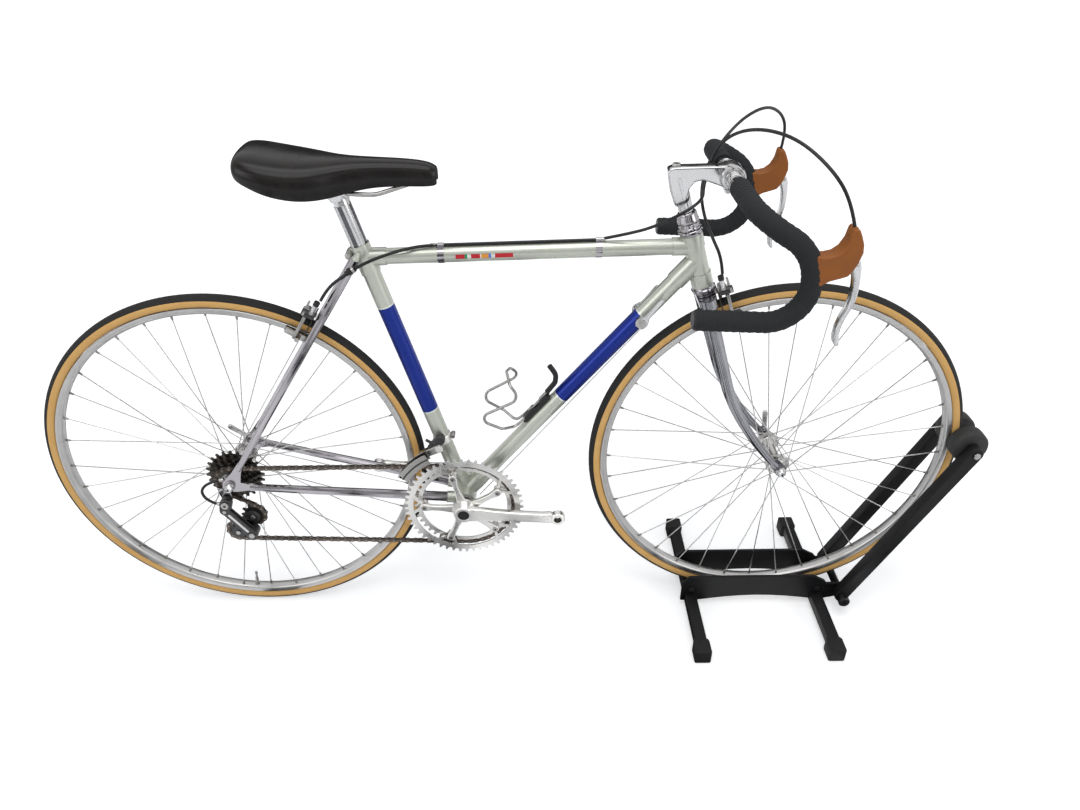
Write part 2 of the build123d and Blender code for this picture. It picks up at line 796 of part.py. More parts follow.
bridge_radius = 5.5
bridge_reach = tyre_radius + bridge_gap + bridge_radius
bridge_share = share_at_distance(seatstay_end, seatstay_start, rear_axle, bridge_reach)
bridge = seatstay_end + (seatstay_start - seatstay_end) * bridge_share
bridge_centre = at(bridge.X, bridge.Z)
stay_up = at(seatstay_way.X, seatstay_way.Z).normalized()
stay_back = at(-stay_up.Z, stay_up.X)
rear_brake_pivot = bridge_centre + stay_back * (seatstay_radius + 5.0)
rear_reach = (rear_brake_pivot - rear_axle).length - (rim_bed_radius - 5.0)
bolt_back = seatstay_radius + 5.0 - bridge_radius - 0.1
finish(caliper(rear_brake_pivot, stay_up, stay_back, rear_reach, bolt_back), "rear_brake")

with BuildPart() as brake_bridge:
    bar(mirrored(bridge_centre + Vector(0, bridge.Y, 0), -1), bridge_centre + Vector(0, bridge.Y, 0), bridge_radius)
    for side in (1, -1):
        low_end = mirrored(bridge - seatstay_way * 30.0, side)
        high_end = mirrored(bridge + seatstay_way * 30.0, side)
        low_radius = stay_radius(bridge_share - 30.0 / stay_length) + 0.1
        high_radius = stay_radius(bridge_share + 30.0 / stay_length) + 0.1
        taper(low_end, high_end, low_radius, high_radius, mode=Mode.SUBTRACT)
finish(brake_bridge, "brake_bridge")


# ---------------------------------------------------------------- drive
def toothed_disc(centre, teeth, y_high, thickness, phase=0.0):
    """A sprocket's blank, with flat-topped teeth."""
    pitch = pitch_radius(teeth)
    corners = []
    for tooth in range(teeth):
        for share, radius in ((-0.28, -3.6), (-0.13, 2.8), (0.13, 2.8), (0.28, -3.6)):
            angle = 2 * pi * (tooth + share + phase) / teeth
            corners.append(((pitch + radius) * cos(angle), (pitch + radius) * sin(angle)))
    plane = Plane(origin=(centre.X, y_high, centre.Z), x_dir=(1, 0, 0), z_dir=(0, -1, 0))
    with BuildSketch(plane) as blank:
        with BuildLine():
            Polyline(corners, close=True)
        make_face()
    extrude(blank.sketch, amount=thickness)


crank_way = at(cos(radians(crank_droop)), -sin(radians(crank_droop)))
crank_right_end = bracket + crank_way * crank_length
crank_left_end = bracket - crank_way * crank_length
spider_y = big_ring_y - ring_thickness / 2
spider_thickness = 7.8


def round_axle(turn, radius, y):
    """A point about the bottom bracket, from its angle in degrees."""
    return bracket + Vector(radius * cos(radians(turn)), y, radius * sin(radians(turn)))


bolt_turns = [72.0 * bolt + 36.0 - crank_droop for bolt in range(5)]
bolt_boss_radius = 6.5
bolt_sleeve_radius = 4.8


def chainring(name, teeth, middle_y, inner_edge, strut_spread, sleeve_end):
    """A toothed ring hung from five bolt bosses, each on a pair of struts.

    sleeve_end is how far its bolts' sleeves reach towards the other ring, if it has them.
    """
    low, high = middle_y - ring_thickness / 2, middle_y + ring_thickness / 2
    with BuildPart() as chainring:
        toothed_disc(bracket, teeth, high, ring_thickness)
        ring(bracket, inner_edge, low - 4, high + 4, mode=Mode.SUBTRACT)
        for turn in bolt_turns:
            boss = round_axle(turn, bolt_circle_radius, middle_y)
            ring(boss, bolt_boss_radius, low, high)
            for lean in (-strut_spread, strut_spread):
                beam(boss, round_axle(turn + lean, inner_edge + 1.5, middle_y), ring_thickness, 5.0)
            if sleeve_end is not None:
                ring(boss, bolt_sleeve_radius, sleeve_end, low)
    finish(chainring, name)


big_ring_inner_face = big_ring_y + ring_thickness / 2 + 0.05
chainring("big_chainring", big_ring_teeth, big_ring_y, 92.0, 12.0, None)
chainring("small_chainring", small_ring_teeth, small_ring_y, 78.0, 5.0, big_ring_inner_face)


def crank_arm(end, inner_y, outer_y):
    """A crank arm between its boss and its pedal eye, as a tapered plate."""
    low, high = sorted((inner_y, outer_y))
    way = (end - bracket).normalized()
    normal = at(-way.Z, way.X)
    with BuildSketch(side_plane(high)) as outline:
        with BuildLine():
            corners = [
                bracket + normal * 14.0,
                end + normal * 10.0,
                end - normal * 10.0,
                bracket - normal * 14.0,
            ]
            Polyline([(corner.X, corner.Z) for corner in corners], close=True)
        make_face()
    extrude(outline.sketch, amount=high - low)
    ring(bracket, 18.0, low, high)
    ring(end, 13.0, low, high)
    ring(end, pedal_thread_radius, low - 1, high + 1, mode=Mode.SUBTRACT)


crank_outer_y = crank_inner_y + crank_thickness
with BuildPart() as right_crank:
    crank_arm(crank_right_end, -crank_inner_y, -crank_outer_y)
    ring(bracket, 18.0, -crank_inner_y, spider_y)
    arm_middle = spider_y - 0.05 - spider_thickness / 2
    for turn in bolt_turns:
        arm_end = round_axle(turn, bolt_circle_radius, arm_middle)
        beam(bracket + Vector(0, arm_middle, 0), arm_end, spider_thickness, 11.0)
        ring(arm_end, bolt_boss_radius + 1.0, arm_middle - spider_thickness / 2, spider_y - 0.05)
    flute_start = bracket + crank_way * 34.0 + Vector(0, -crank_outer_y, 0)
    flute_end = bracket + crank_way * (crank_length - 28.0) + Vector(0, -crank_outer_y, 0)
    beam(flute_start, flute_end, 2.4, 8.0, mode=Mode.SUBTRACT)
    ring(bracket, spindle_radius, -crank_outer_y - 1, 0, mode=Mode.SUBTRACT)
finish(right_crank, "right_crank")

with BuildPart() as left_crank:
    crank_arm(crank_left_end, crank_inner_y, crank_outer_y)
    ring(bracket, 18.0, crank_inner_y - 8.0, crank_inner_y)
    ring(bracket, spindle_radius, 0, crank_outer_y + 1, mode=Mode.SUBTRACT)
finish(left_crank, "left_crank")

with BuildPart() as crank_spindle:
    ring(bracket, spindle_radius, -crank_outer_y, crank_outer_y)
finish(crank_spindle, "crank_spindle")

with BuildPart() as freewheel:
    for number, teeth in enumerate(cog_teeth):
        middle_y = first_cog_y + number * cog_pitch
        toothed_disc(rear_axle, teeth, middle_y + cog_thickness / 2, cog_thickness)
    last_cog_y = first_cog_y + (len(cog_teeth) - 1) * cog_pitch
    ring(rear_axle, freewheel_body_radius, first_cog_y, last_cog_y)
    ring(rear_axle, freewheel_bore, first_cog_y - 5, last_cog_y + 5, mode=Mode.SUBTRACT)
finish(freewheel, "freewheel")

# chain: two straight runs between planar wraps
guide_pulley = rear_axle + at(25.0, -74.0)
tension_pulley = rear_axle + at(-8.0, -110.0)
pulley_radius = pitch_radius(pulley_teeth)
ring_radius = pitch_radius(small_ring_teeth)
cog_radius = pitch_radius(cog_teeth[0])


def belt(first, first_radius, second, second_radius):
    """Where a belt leaves one circle and meets the next; a negative radius turns it clockwise."""
    gap = at(second.X - first.X, second.Z - first.Z)
    heading = atan2(gap.Z, gap.X) + asin((first_radius - second_radius) / gap.length)
    right = at(sin(heading), -cos(heading))
    return first + right * first_radius, second + right * second_radius


def wrap(centre, start, end, radius):
    """The belt's arc about a centre; a negative radius turns it clockwise."""
    first = atan2(start.Z - centre.Z, start.X - centre.X)
    last = atan2(end.Z - centre.Z, end.X - centre.X)
    turn = (last - first) % (2 * pi) if radius > 0 else -((first - last) % (2 * pi))
    middle = centre + at(cos(first + turn / 2), sin(first + turn / 2)) * abs(radius)
    ThreePointArc((start.X, start.Z), (middle.X, middle.Z), (end.X, end.Z))


ring_top, cog_top = belt(bracket, ring_radius, rear_axle, cog_radius)
cog_leave, guide_meet = belt(rear_axle, cog_radius, guide_pulley, -pulley_radius)
guide_leave, tension_meet = belt(guide_pulley, -pulley_radius, tension_pulley, pulley_radius)
tension_leave, ring_low = belt(tension_pulley, pulley_radius, bracket, ring_radius)

with BuildPart() as chain:
    with BuildSketch(side_plane(first_cog_y + chain_width / 2)) as rear_band:
        with BuildLine() as rear_path:
            wrap(rear_axle, cog_top, cog_leave, cog_radius)
            Line((cog_leave.X, cog_leave.Z), (guide_meet.X, guide_meet.Z))
            wrap(guide_pulley, guide_meet, guide_leave, -pulley_radius)
            Line((guide_leave.X, guide_leave.Z), (tension_meet.X, tension_meet.Z))
            wrap(tension_pulley, tension_meet, tension_leave, pulley_radius)
        trace(rear_path.line, line_width=chain_height)
    extrude(rear_band.sketch, amount=chain_width)
    with BuildSketch(side_plane(small_ring_y + chain_width / 2)) as front_band:
        with BuildLine() as front_path:
            wrap(bracket, ring_low, ring_top, ring_radius)
        trace(front_path.line, line_width=chain_height)
    extrude(front_band.sketch, amount=chain_width)
    for rear_end, front_end in ((cog_top, ring_top), (tension_leave, ring_low)):
        start = Vector(rear_end.X, first_cog_y, rear_end.Z)
        end = Vector(front_end.X, small_ring_y, front_end.Z)
        beam(start, end, chain_width, chain_height)
    groove = 0.2  # each side of the teeth
    for centre, radius, y, thickness in (
        (bracket, ring_radius, small_ring_y, ring_thickness),
        (rear_axle, cog_radius, first_cog_y, cog_thickness),
        (guide_pulley, pulley_radius, first_cog_y, cog_thickness),
        (tension_pulley, pulley_radius, first_cog_y, cog_thickness),
    ):
        half = thickness / 2 + groove
        ring(centre, radius + 3.1, y - half, y + half, mode=Mode.SUBTRACT)
finish(chain, "chain")

# ---------------------------------------------------------------- gears
hanger = rear_axle + at(-10.0, -30.0)
mech_outer_y = -dropout_y - dropout_thickness
cage_way = guide_pulley - tension_pulley
cage_middle = tension_pulley + cage_way * 0.5
cage_turn = atan2(cage_way.Z, cage_way.X) * 180 / pi
plate_thickness = 2.0
cage_gap = 6.0  # between the pulleys' middle and each cage plate
outer_plate_y = first_cog_y - cage_gap
inner_plate_y = first_cog_y + cage_gap + plate_thickness
knuckle = guide_pulley + at(-1.0, -26.0)
link_top = hanger + at(-4.0, -15.0)
barrel_end = hanger + Vector(-15.0, mech_outer_y - 9.0, -1.5)
with BuildPart() as rear_derailleur:
    ring(hanger, 9.0, mech_outer_y - 16.0, mech_outer_y)
    for high in (outer_plate_y, inner_plate_y):
        with BuildSketch(side_plane(high)) as plate:
            with Locations((cage_middle.X, cage_middle.Z)):
                SlotCenterToCenter(cage_way.length, 18.0, rotation=cage_turn)
        extrude(plate.sketch, amount=plate_thickness)
    for centre in (guide_pulley, tension_pulley):
        ring(centre, 3.0, outer_plate_y - plate_thickness, inner_plate_y)
        toothed_disc(centre, pulley_teeth, first_cog_y + cog_thickness / 2, cog_thickness)
    arm_plane_y = outer_plate_y - plate_thickness / 2
    lobe_start = Vector(knuckle.X, arm_plane_y, knuckle.Z)
    beam(lobe_start, Vector(cage_middle.X, arm_plane_y, cage_middle.Z), plate_thickness, 14.0)
    ring(knuckle, 8.0, mech_outer_y - 14.0, outer_plate_y)
    ring(link_top, 7.0, mech_outer_y - 16.0, mech_outer_y - 2.0)
    body_start = Vector(hanger.X, mech_outer_y - 9.0, hanger.Z)
    beam(body_start, Vector(link_top.X, mech_outer_y - 9.0, link_top.Z), 13.0, 12.0)
    for drop in (4.0, 12.0):
        start = Vector(link_top.X, mech_outer_y - drop, link_top.Z)
        beam(start, Vector(knuckle.X, mech_outer_y - drop, knuckle.Z), 3.0, 12.0)
    taper(body_start, barrel_end, 4.0, 3.5, 6)
finish(rear_derailleur, "rear_derailleur")

front_mech = bracket + seat_up * 128.0
cage_y = small_ring_y - 2.0
with BuildPart() as front_derailleur:
    bar(front_mech - seat_up * 8.0, front_mech + seat_up * 8.0, main_tube_radius + 3.0)
    bar(front_mech - seat_up * 9.0, front_mech + seat_up * 9.0, main_tube_radius + 0.05, mode=Mode.SUBTRACT)
    beam(front_mech + Vector(0, -16.5, 0), front_mech + Vector(0, -34.0, 4.0), 14.0, 14.0)
    for y_high in (cage_y + 7.0, cage_y - 5.5):
        with BuildSketch(side_plane(y_high)) as plate:
            with Locations((bracket.X, bracket.Z)):
                Circle(136.0)
                Circle(112.5, mode=Mode.SUBTRACT)
            with Locations((bracket.X - 70.0, bracket.Z + 110.0)):
                Rectangle(64.0, 60.0, mode=Mode.INTERSECT)
        extrude(plate.sketch, amount=1.5)
    tie = bracket + at(-78.0, 104.0)
    ring(tie, 2.5, cage_y - 7.0, cage_y + 7.0)
    ring(bracket + at(-52.0, 118.0), 3.5, cage_y + 5.5, -17.5)
finish(front_derailleur, "front_derailleur")

lever_boss = down_tube_head - down_tube_way * lever_boss_reach
with BuildPart() as shifters:
    for side in (1, -1):
        start = lever_boss + Vector(0, side * (main_tube_radius - 0.2), 0)
        boss_low, boss_high = sorted((start.Y, start.Y + side * 14.0))
        ring(lever_boss, 9.0, boss_low, boss_high)
        grip = Vector(start.X, side * 25.0, start.Z)
        beam(grip, grip + down_tube_way * 46.0 + down_tube_normal * 26.0, 5.0, 9.0)
    bar(bracket, down_tube_head, main_tube_radius + 0.05, mode=Mode.SUBTRACT)
finish(shifters, "shifters")


# ---------------------------------------------------------------- bottle cage
def on_down_tube(along, out, y=0.0):
    return bracket + down_tube_way * along + down_tube_normal * out + Vector(0, y, 0)


wire_radius = 2.5
cage_foot = main_tube_radius + 0.05
cage_wire = [  # along the down tube, out from it, to the left
    (236.0, cage_foot + 5.0, 5.0),
    (172.0, cage_foot + 9.0, 9.0),
    (163.0, 36.0, 30.0),
    (163.0, 90.0, 36.0),
    (232.0, 62.0, 40.0),
    (267.0, 96.0, 16.0),
    (272.0, 101.0, 0.0),
]
hook_wire = [(250.0, cage_foot + 3.0), (296.0, cage_foot + 12.0), (314.0, 50.0), (315.0, 78.0)]
with BuildPart() as bottle_cage:
    beam(on_down_tube(222, cage_foot + 3.0), on_down_tube(272, cage_foot + 3.0), 18.0, 6.0)
    with BuildLine() as hoop:
        FilletPolyline(*[on_down_tube(*corner) for corner in cage_wire], radius=[8, 8, 8, 8, 6])
    with BuildSketch(Plane(origin=hoop.line @ 0, z_dir=hoop.line % 0)) as section:
        RegularPolygon(wire_radius, 6)
    sweep(section.sketch, path=hoop.line)
    mirror(about=Plane.XZ)
    hook = [on_down_tube(*corner) for corner in hook_wire]
    for start, end in zip(hook, hook[1:]):
        beam(start, end, 9.0, 2.5)
    for corner in hook[1:-1]:
        ring(corner, 1.25, -4.5, 4.5)
finish(bottle_cage, "bottle_cage")

# ---------------------------------------------------------------- stand
foot_top = front_axle.Z - sqrt(tyre_radius**2 - foot_inner**2) - 0.3
foot_middle = foot_top - foot_size / 2
foot_offset = foot_inner + foot_size / 2
foot_places = (front_axle.X - foot_offset, front_axle.X + foot_offset)
pivot = at(front_axle.X + foot_inner + foot_size + pivot_reach, foot_top + 6.0)
with BuildPart() as stand_base:
    for x in foot_places:
        crossbar(x, foot_middle, -foot_half_length, foot_half_length, foot_size)
    for y_high in (rail_spread + rail_thickness / 2, -rail_spread + rail_thickness / 2):
        with BuildSketch(side_plane(y_high)) as rail:
            with BuildLine():
                rail_back = foot_places[0] - foot_size / 2
                rail_front = foot_places[1] + foot_size / 2
                Polyline(
                    (rail_front - 12.0, foot_middle - 8.0),
                    (rail_front + 4.0, foot_middle - 8.0),
                    (pivot.X + 8.0, pivot.Z - 16.0),
                    (pivot.X + 14.0, pivot.Z),
                    (pivot.X + 8.0, pivot.Z + 16.0),
                    (rail_front + 8.0, foot_top + 22.0),
                    (rail_front + 2.0, foot_top + 30.0),
                    (rail_front - 22.0, foot_top + rail_height),
                    (rail_back + 6.0, foot_top + rail_height),
                    (rail_back - 8.0, foot_top + rail_height - 14.0),
                    (rail_back - 8.0, foot_middle - 8.0),
                    (rail_back + foot_size, foot_middle - 8.0),
                )
                ThreePointArc(
                    (rail_back + foot_size, foot_middle - 8.0),
                    (front_axle.X, foot_middle + 4.0),
                    (rail_front - 12.0, foot_middle - 8.0),
                )
            make_face()
        extrude(rail.sketch, amount=rail_thickness)
    bar(pivot + Vector(0, -rail_spread - 4.0, 0), pivot + Vector(0, rail_spread + 4.0, 0), 8.0)
finish(stand_base, "stand_base")

cap_reach = foot_half_length + 4.0
with BuildPart() as stand_caps:
    for x in foot_places:
        for side in (1, -1):
            low, high = sorted((side * cap_reach, side * (cap_reach - cap_length)))
            crossbar(x, cap_size / 2, low, high, cap_size)
        ends = foot_half_length + 0.05
        crossbar(x, foot_middle, -ends, ends, foot_size + 0.1, mode=Mode.SUBTRACT)
finish(stand_caps, "stand_caps")

arm_y = rail_spread + rail_thickness / 2 + 1.2 + arm_thickness / 2
arm_way = at(cos(radians(arm_lean)), sin(radians(arm_lean)))
arm_top = pivot + arm_way * arm_length
with BuildPart() as stand_arms:
    for side in (1, -1):
        offset = Vector(0, side * arm_y, 0)
        beam(pivot + offset, arm_top + offset, arm_thickness, arm_width)
        low, high = sorted((side * (arm_y - arm_thickness / 2), side * (arm_y + arm_thickness / 2)))
        ring(pivot, arm_width / 2, low, high)
    ring(pivot, 6.0, -arm_y - arm_thickness / 2 - 4, -rail_spread - 4.0)
    ring(pivot, 6.0, rail_spread + 4.0, arm_y + arm_thickness / 2 + 4)
finish(stand_arms, "stand_arms")

with BuildPart() as stand_grips:
    for side in (1, -1):
        low, high = sorted((side * (tyre_width / 2 + 0.4), side * (arm_y - arm_thickness / 2)))
        ring(arm_top, grip_radius, low, high)
    knob = pivot + Vector(0, -arm_y - arm_thickness / 2 - 4.0, 0)
    ring(pivot, 11.0, knob.Y - 12.0, knob.Y)
finish(stand_grips, "stand_grips")


# ---------------------------------------------------------------- cables
cable_radius = 2.5


def cable(name, points, held=None):
    """A cable through chosen points, with arcs as large as its runs allow.

    held is the far end of a straight stretch that leads into the first point.
    """
    corners = [Vector(*point) for point in points]
    radii = []
    for before, here, after in zip(corners, corners[1:], corners[2:]):
        shorter = min((here - before).length, (after - here).length)
        turn = (here - before).get_angle(after - here)
        radii.append(0.45 * shorter / tan(radians(turn) / 2))
    with BuildPart() as cord:
        with BuildLine() as route:
            FilletPolyline(*corners, radius=radii)
        with BuildSketch(Plane(origin=route.line @ 0, z_dir=route.line % 0)) as section:
            RegularPolygon(cable_radius, 6)
        sweep(section.sketch, path=route.line)
        swept = cord.part.volume
        if held is not None:
            bar(held, corners[0], cable_radius)
    print(name, "radii", [round(radius) for radius in radii])
    print(name, "volume ratio", round(swept / (section.sketch.area * route.wire().length), 4))
    finish(cord, name)


hood_tip = hood_spot + Vector(42.5, 0, 56.6)
front_cable_end = front_brake_pivot + Vector(-4.0, -33.0, 44.0)
cable(
    "front_brake_cable",
    [
        tuple(hood_tip), (452, 181, 878), (436, 167, 908), (402, 138, 926), (358, 102, 917), (322, 76, 888),
        (300, 63, 854), (290, 40, 822), (292, 12, 794), (304, -14, 766), (318, -31, 740),
        tuple(front_cable_end),
    ],
)
cable(
    "rear_brake_cable",
    [
        (hood_tip.X, -hood_tip.Y, hood_tip.Z), (438, -179, 880), (414, -160, 914), (380, -118, 940),
        (350, -68, 942), (326, -18, 928), (309, 26, 900), (301, 46, 862), (290, 24, 832), (284, -10, 826),
        (262, -30, 817), (238, -29, 803), (206, -20, 784), (172, -7, 770), (140, 0, 760.8),
    ],
)


def on_top_tube(x):
    """Centre of the cable that lies along the top tube."""
    share = (x - seat_node.X) / top_tube_way.X
    return seat_node + top_tube_way * share + at(0.0, top_tube_radius + cable_radius + 0.2)


clip_front = 132.0
clip_back = -113.0
cable(
    "top_tube_cable",
    [
        tuple(on_top_tube(clip_back - 12.0)), (-155, -9, 752), (-192, -26, 748), (-230, -36, 736),
        (-262, -38, 717), (-288, -36, 697), (-302, -34, 675),
    ],
    on_top_tube(clip_front + 6.0),
)
shift_loop_start = Vector(rear_axle.X - 12.0, mech_outer_y - cable_radius - 0.2, rear_axle.Z + 16.0)
cable(
    "shift_cable_loop",
    [
        tuple(shift_loop_start), (-532, -73, 350), (-549, -75, 337), (-549, -76, 322), (-539, -77, 310),
        tuple(barrel_end + Vector(-1.3, 0, 0.5)),
    ],
)
with BuildPart() as cable_clips:
    for x in (clip_front, clip_back):
        middle = on_top_tube(x)
        tube_axis = middle - at(0.0, top_tube_radius + cable_radius + 0.2)
        half = top_tube_way * 5.0
        bar(tube_axis - half, tube_axis + half, top_tube_radius + 0.8)
        bar(middle - half, middle + half, cable_radius + 1.2)
        bar(tube_axis - half * 2, tube_axis + half * 2, top_tube_radius + 0.05, mode=Mode.SUBTRACT)
        bar(middle - half * 2, middle + half * 2, cable_radius + 0.05, mode=Mode.SUBTRACT)
finish(cable_clips, "cable_clips")
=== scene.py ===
# %% [markdown]
# # Dressing a racing bicycle on its floor stand
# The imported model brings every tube, bearing and joint in its right place. This lesson
# gives those parts their finishes, and replaces the plain ones with pieces that carry
# the detail of the real thing: tyres, spokes, chain, brakes, bar tape, hoods and saddle.
# Everything is in metres, +X points forward and the drive side faces -Y.

# %% Load the frame
import json
from contextlib import contextmanager
from math import asin, atan2, cos, pi, radians, sin, tan

import bpy
from mathutils import Matrix, Vector


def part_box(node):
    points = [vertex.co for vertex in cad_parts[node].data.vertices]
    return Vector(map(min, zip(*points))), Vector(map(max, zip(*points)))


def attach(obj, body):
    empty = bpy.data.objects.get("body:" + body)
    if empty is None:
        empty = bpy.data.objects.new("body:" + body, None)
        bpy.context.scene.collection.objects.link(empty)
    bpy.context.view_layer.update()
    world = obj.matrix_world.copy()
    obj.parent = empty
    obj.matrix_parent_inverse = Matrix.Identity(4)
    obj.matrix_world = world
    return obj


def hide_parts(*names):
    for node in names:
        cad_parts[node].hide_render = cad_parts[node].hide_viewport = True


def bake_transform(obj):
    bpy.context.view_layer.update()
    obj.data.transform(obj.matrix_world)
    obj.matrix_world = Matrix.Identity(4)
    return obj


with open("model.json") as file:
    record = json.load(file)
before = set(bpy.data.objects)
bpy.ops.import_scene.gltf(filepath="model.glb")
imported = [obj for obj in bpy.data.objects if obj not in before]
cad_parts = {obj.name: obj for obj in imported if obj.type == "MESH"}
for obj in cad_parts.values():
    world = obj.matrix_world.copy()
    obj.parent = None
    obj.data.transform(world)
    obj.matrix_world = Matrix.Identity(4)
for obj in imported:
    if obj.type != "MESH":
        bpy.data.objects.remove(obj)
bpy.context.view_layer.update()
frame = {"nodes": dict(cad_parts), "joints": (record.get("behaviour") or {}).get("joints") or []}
nodes = frame["nodes"]

# %% [markdown]
# ## The places that everything hangs on
# A bicycle's geometry comes down to a few points and angles. They are read from the
# packed joints, so each new piece is placed by the same frame as the solids under it.

# %% Key places
mm = 0.001
left, up = Vector((0, 1, 0)), Vector((0, 0, 1))
joints = {joint["name"]: joint for joint in frame["joints"]}


def joint_place(name):
    """A joint's pivot in the middle plane."""
    return Vector(joints[name]["pos_m"])


rear_axle = joint_place("rear_wheel_spin")
front_axle = joint_place("front_wheel_spin")
bracket = joint_place("crank_spin")
crown_race = joint_place("steering")
steer_up = Vector(joints["steering"]["axis"]).normalized()
steer_forward = Vector((steer_up.z, 0, -steer_up.x))
seat_lean = radians(16)
seat_up = Vector((-sin(seat_lean), 0, cos(seat_lean)))
seat_fore = Vector((seat_up.z, 0, -seat_up.x))
print("bracket", [round(v, 4) for v in bracket], "crown race", [round(v, 4) for v in crown_race])

# %% Frame and bar places
seat_tube_length = 0.486
head_tube_length = 0.089
stem_reach = 0.079
grip_half = 0.182
seat_node = bracket + seat_up * seat_tube_length
head_low = crown_race + steer_up * 0.012
head_high = head_low + steer_up * head_tube_length
locknut_top = head_high + steer_up * 0.037
stem_centre = locknut_top + steer_up * 0.057
bar_centre = stem_centre + Vector((stem_reach, 0, 0))
down_tube_head = head_low + steer_up * 0.0445
down_way = (down_tube_head - bracket).normalized()
down_normal = Vector((-down_way.z, 0, down_way.x))
top_tube_head = head_high - steer_up * 0.0214
top_way = (top_tube_head - seat_node).normalized()
print("bar centre", [round(v, 4) for v in bar_centre], "seat cluster", [round(v, 4) for v in seat_node])

# %% [markdown]
# ## Camera, light and floor
# A product picture wants soft, even light: one large lamp overhead, two big side lamps and
# a bright world. The world is white only for what the camera and the shiny metal see, so
# that the chrome mirrors a studio while the light on the paint stays moderate. Dark cards
# that only reflections see give the metal its contrast. The world, the floor and every
# finish are small networks of shader nodes, so two helpers add a node and feed its inputs.

# %% Camera
lens_mm, looks_down, heading = 27.25, 32.96, -1.01
bpy.ops.object.camera_add(location=(0.0195, -1.1971, 1.2316))
camera = bpy.context.object
camera.rotation_euler = (radians(90 - looks_down), 0, radians(heading))
camera.data.lens = lens_mm
camera.data.sensor_width = 36
camera.data.clip_start = 0.05
bpy.context.scene.camera = camera
bpy.context.scene.view_settings.view_transform = "Standard"
print("camera", [round(v, 3) for v in camera.location])


# %% Lamps
def area_lamp(name, place, target, size, watts):
    """A soft square lamp that faces a point."""
    bpy.ops.object.light_add(type="AREA", location=place)
    lamp = bpy.context.object
    lamp.name = name
    lamp.data.size = size
    lamp.data.energy = watts
    lamp.rotation_euler = (Vector(target) - Vector(place)).to_track_quat("-Z", "Y").to_euler()


area_lamp("top_lamp", (0.1, -0.6, 3.2), (0, 0, 0.4), 2.4, 46)
area_lamp("side_lamp", (-2.6, -2.2, 1.9), (0, 0, 0.5), 1.8, 21)
area_lamp("front_lamp", (2.8, -1.6, 1.6), (0.2, 0, 0.5), 1.6, 18)


# %% Node helpers
def feed(tree, node, inputs):
    """Link a node's inputs to the sockets that feed them, and set the others to their values."""
    for name, value in inputs.items():
        if isinstance(value, bpy.types.NodeSocket):
            tree.links.new(value, node.inputs[name])
        else:
            node.inputs[name].default_value = value


def new_node(tree, kind, inputs=None, **settings):
    """A shader node with its settings and its inputs."""
    node = tree.nodes.new("ShaderNode" + kind)
    for setting, value in settings.items():
        setattr(node, setting, value)
    feed(tree, node, inputs or {})
    return node


def seen_by_camera_or_metal(tree, rays):
    """One where a ray comes from the camera or from a shiny surface, zero elsewhere."""
    kinds = {0: rays.outputs["Is Camera Ray"], 1: rays.outputs["Is Glossy Ray"]}
    return new_node(tree, "Math", kinds, operation="MAXIMUM").outputs[0]


print("node helpers ready")

# %% Dark cards
card_shade = bpy.data.materials.new("card_grey")
card_shade.use_nodes = True
card_shade.node_tree.nodes["Principled BSDF"].inputs["Base Color"].default_value = (0.02, 0.02, 0.022, 1)
upright, lying = (radians(90), 0, 0), (0, 0, 0)


def dark_card(name, place, turn, width, height):
    """A dark card that only shiny surfaces see."""
    bpy.ops.object.select_all(action="DESELECT")
    bpy.ops.mesh.primitive_plane_add(size=1, location=place, rotation=turn)
    card = bpy.context.object
    card.name = name
    card.scale = (width, height, 1)
    bpy.ops.object.transform_apply(location=True, rotation=True, scale=True)
    card.data.materials.append(card_shade)
    card.visible_camera = card.visible_diffuse = card.visible_shadow = False


for number, x in enumerate((-3.3, -1.7, -0.5, 0.9, 2.2, 3.6)):
    dark_card(f"near_card_{number}", (x, -4.2, 1.3), upright, 0.62, 2.9)
dark_card("far_card", (0, 4.2, 1.5), upright, 9.0, 2.6)
for number, y in enumerate((-3.0, -0.9)):
    dark_card(f"over_card_{number}", (0, y, 4.2), lying, 6.0, 0.8)
floor_cards = 13
for number in range(floor_cards):
    x = 0.27 * (number - floor_cards // 2) + 0.05 * (number % 3)
    dark_card(f"floor_card_{number}", (x, 0, 0.003), lying, 0.07 + 0.04 * (number % 2), 4.6)

# %% World
world = bpy.context.scene.world or bpy.data.worlds.new("studio")
bpy.context.scene.world = world
world.use_nodes = True
sky = world.node_tree
sky.nodes.clear()
rays = new_node(sky, "LightPath")
lit = new_node(sky, "Background", {"Color": (0.86, 0.9, 0.96, 1), "Strength": 0.42})
shown = new_node(sky, "Background", {"Color": (1, 1, 1, 1), "Strength": 1})
white_for = {0: seen_by_camera_or_metal(sky, rays), 1: rays.outputs["Is Transmission Ray"]}
through = new_node(sky, "Math", white_for, operation="MAXIMUM")
choice = new_node(sky, "MixShader", {0: through.outputs[0], 1: lit.outputs[0], 2: shown.outputs[0]})
new_node(sky, "OutputWorld", {"Surface": choice.outputs[0]})
print("world", world.name, "nodes", len(sky.nodes))

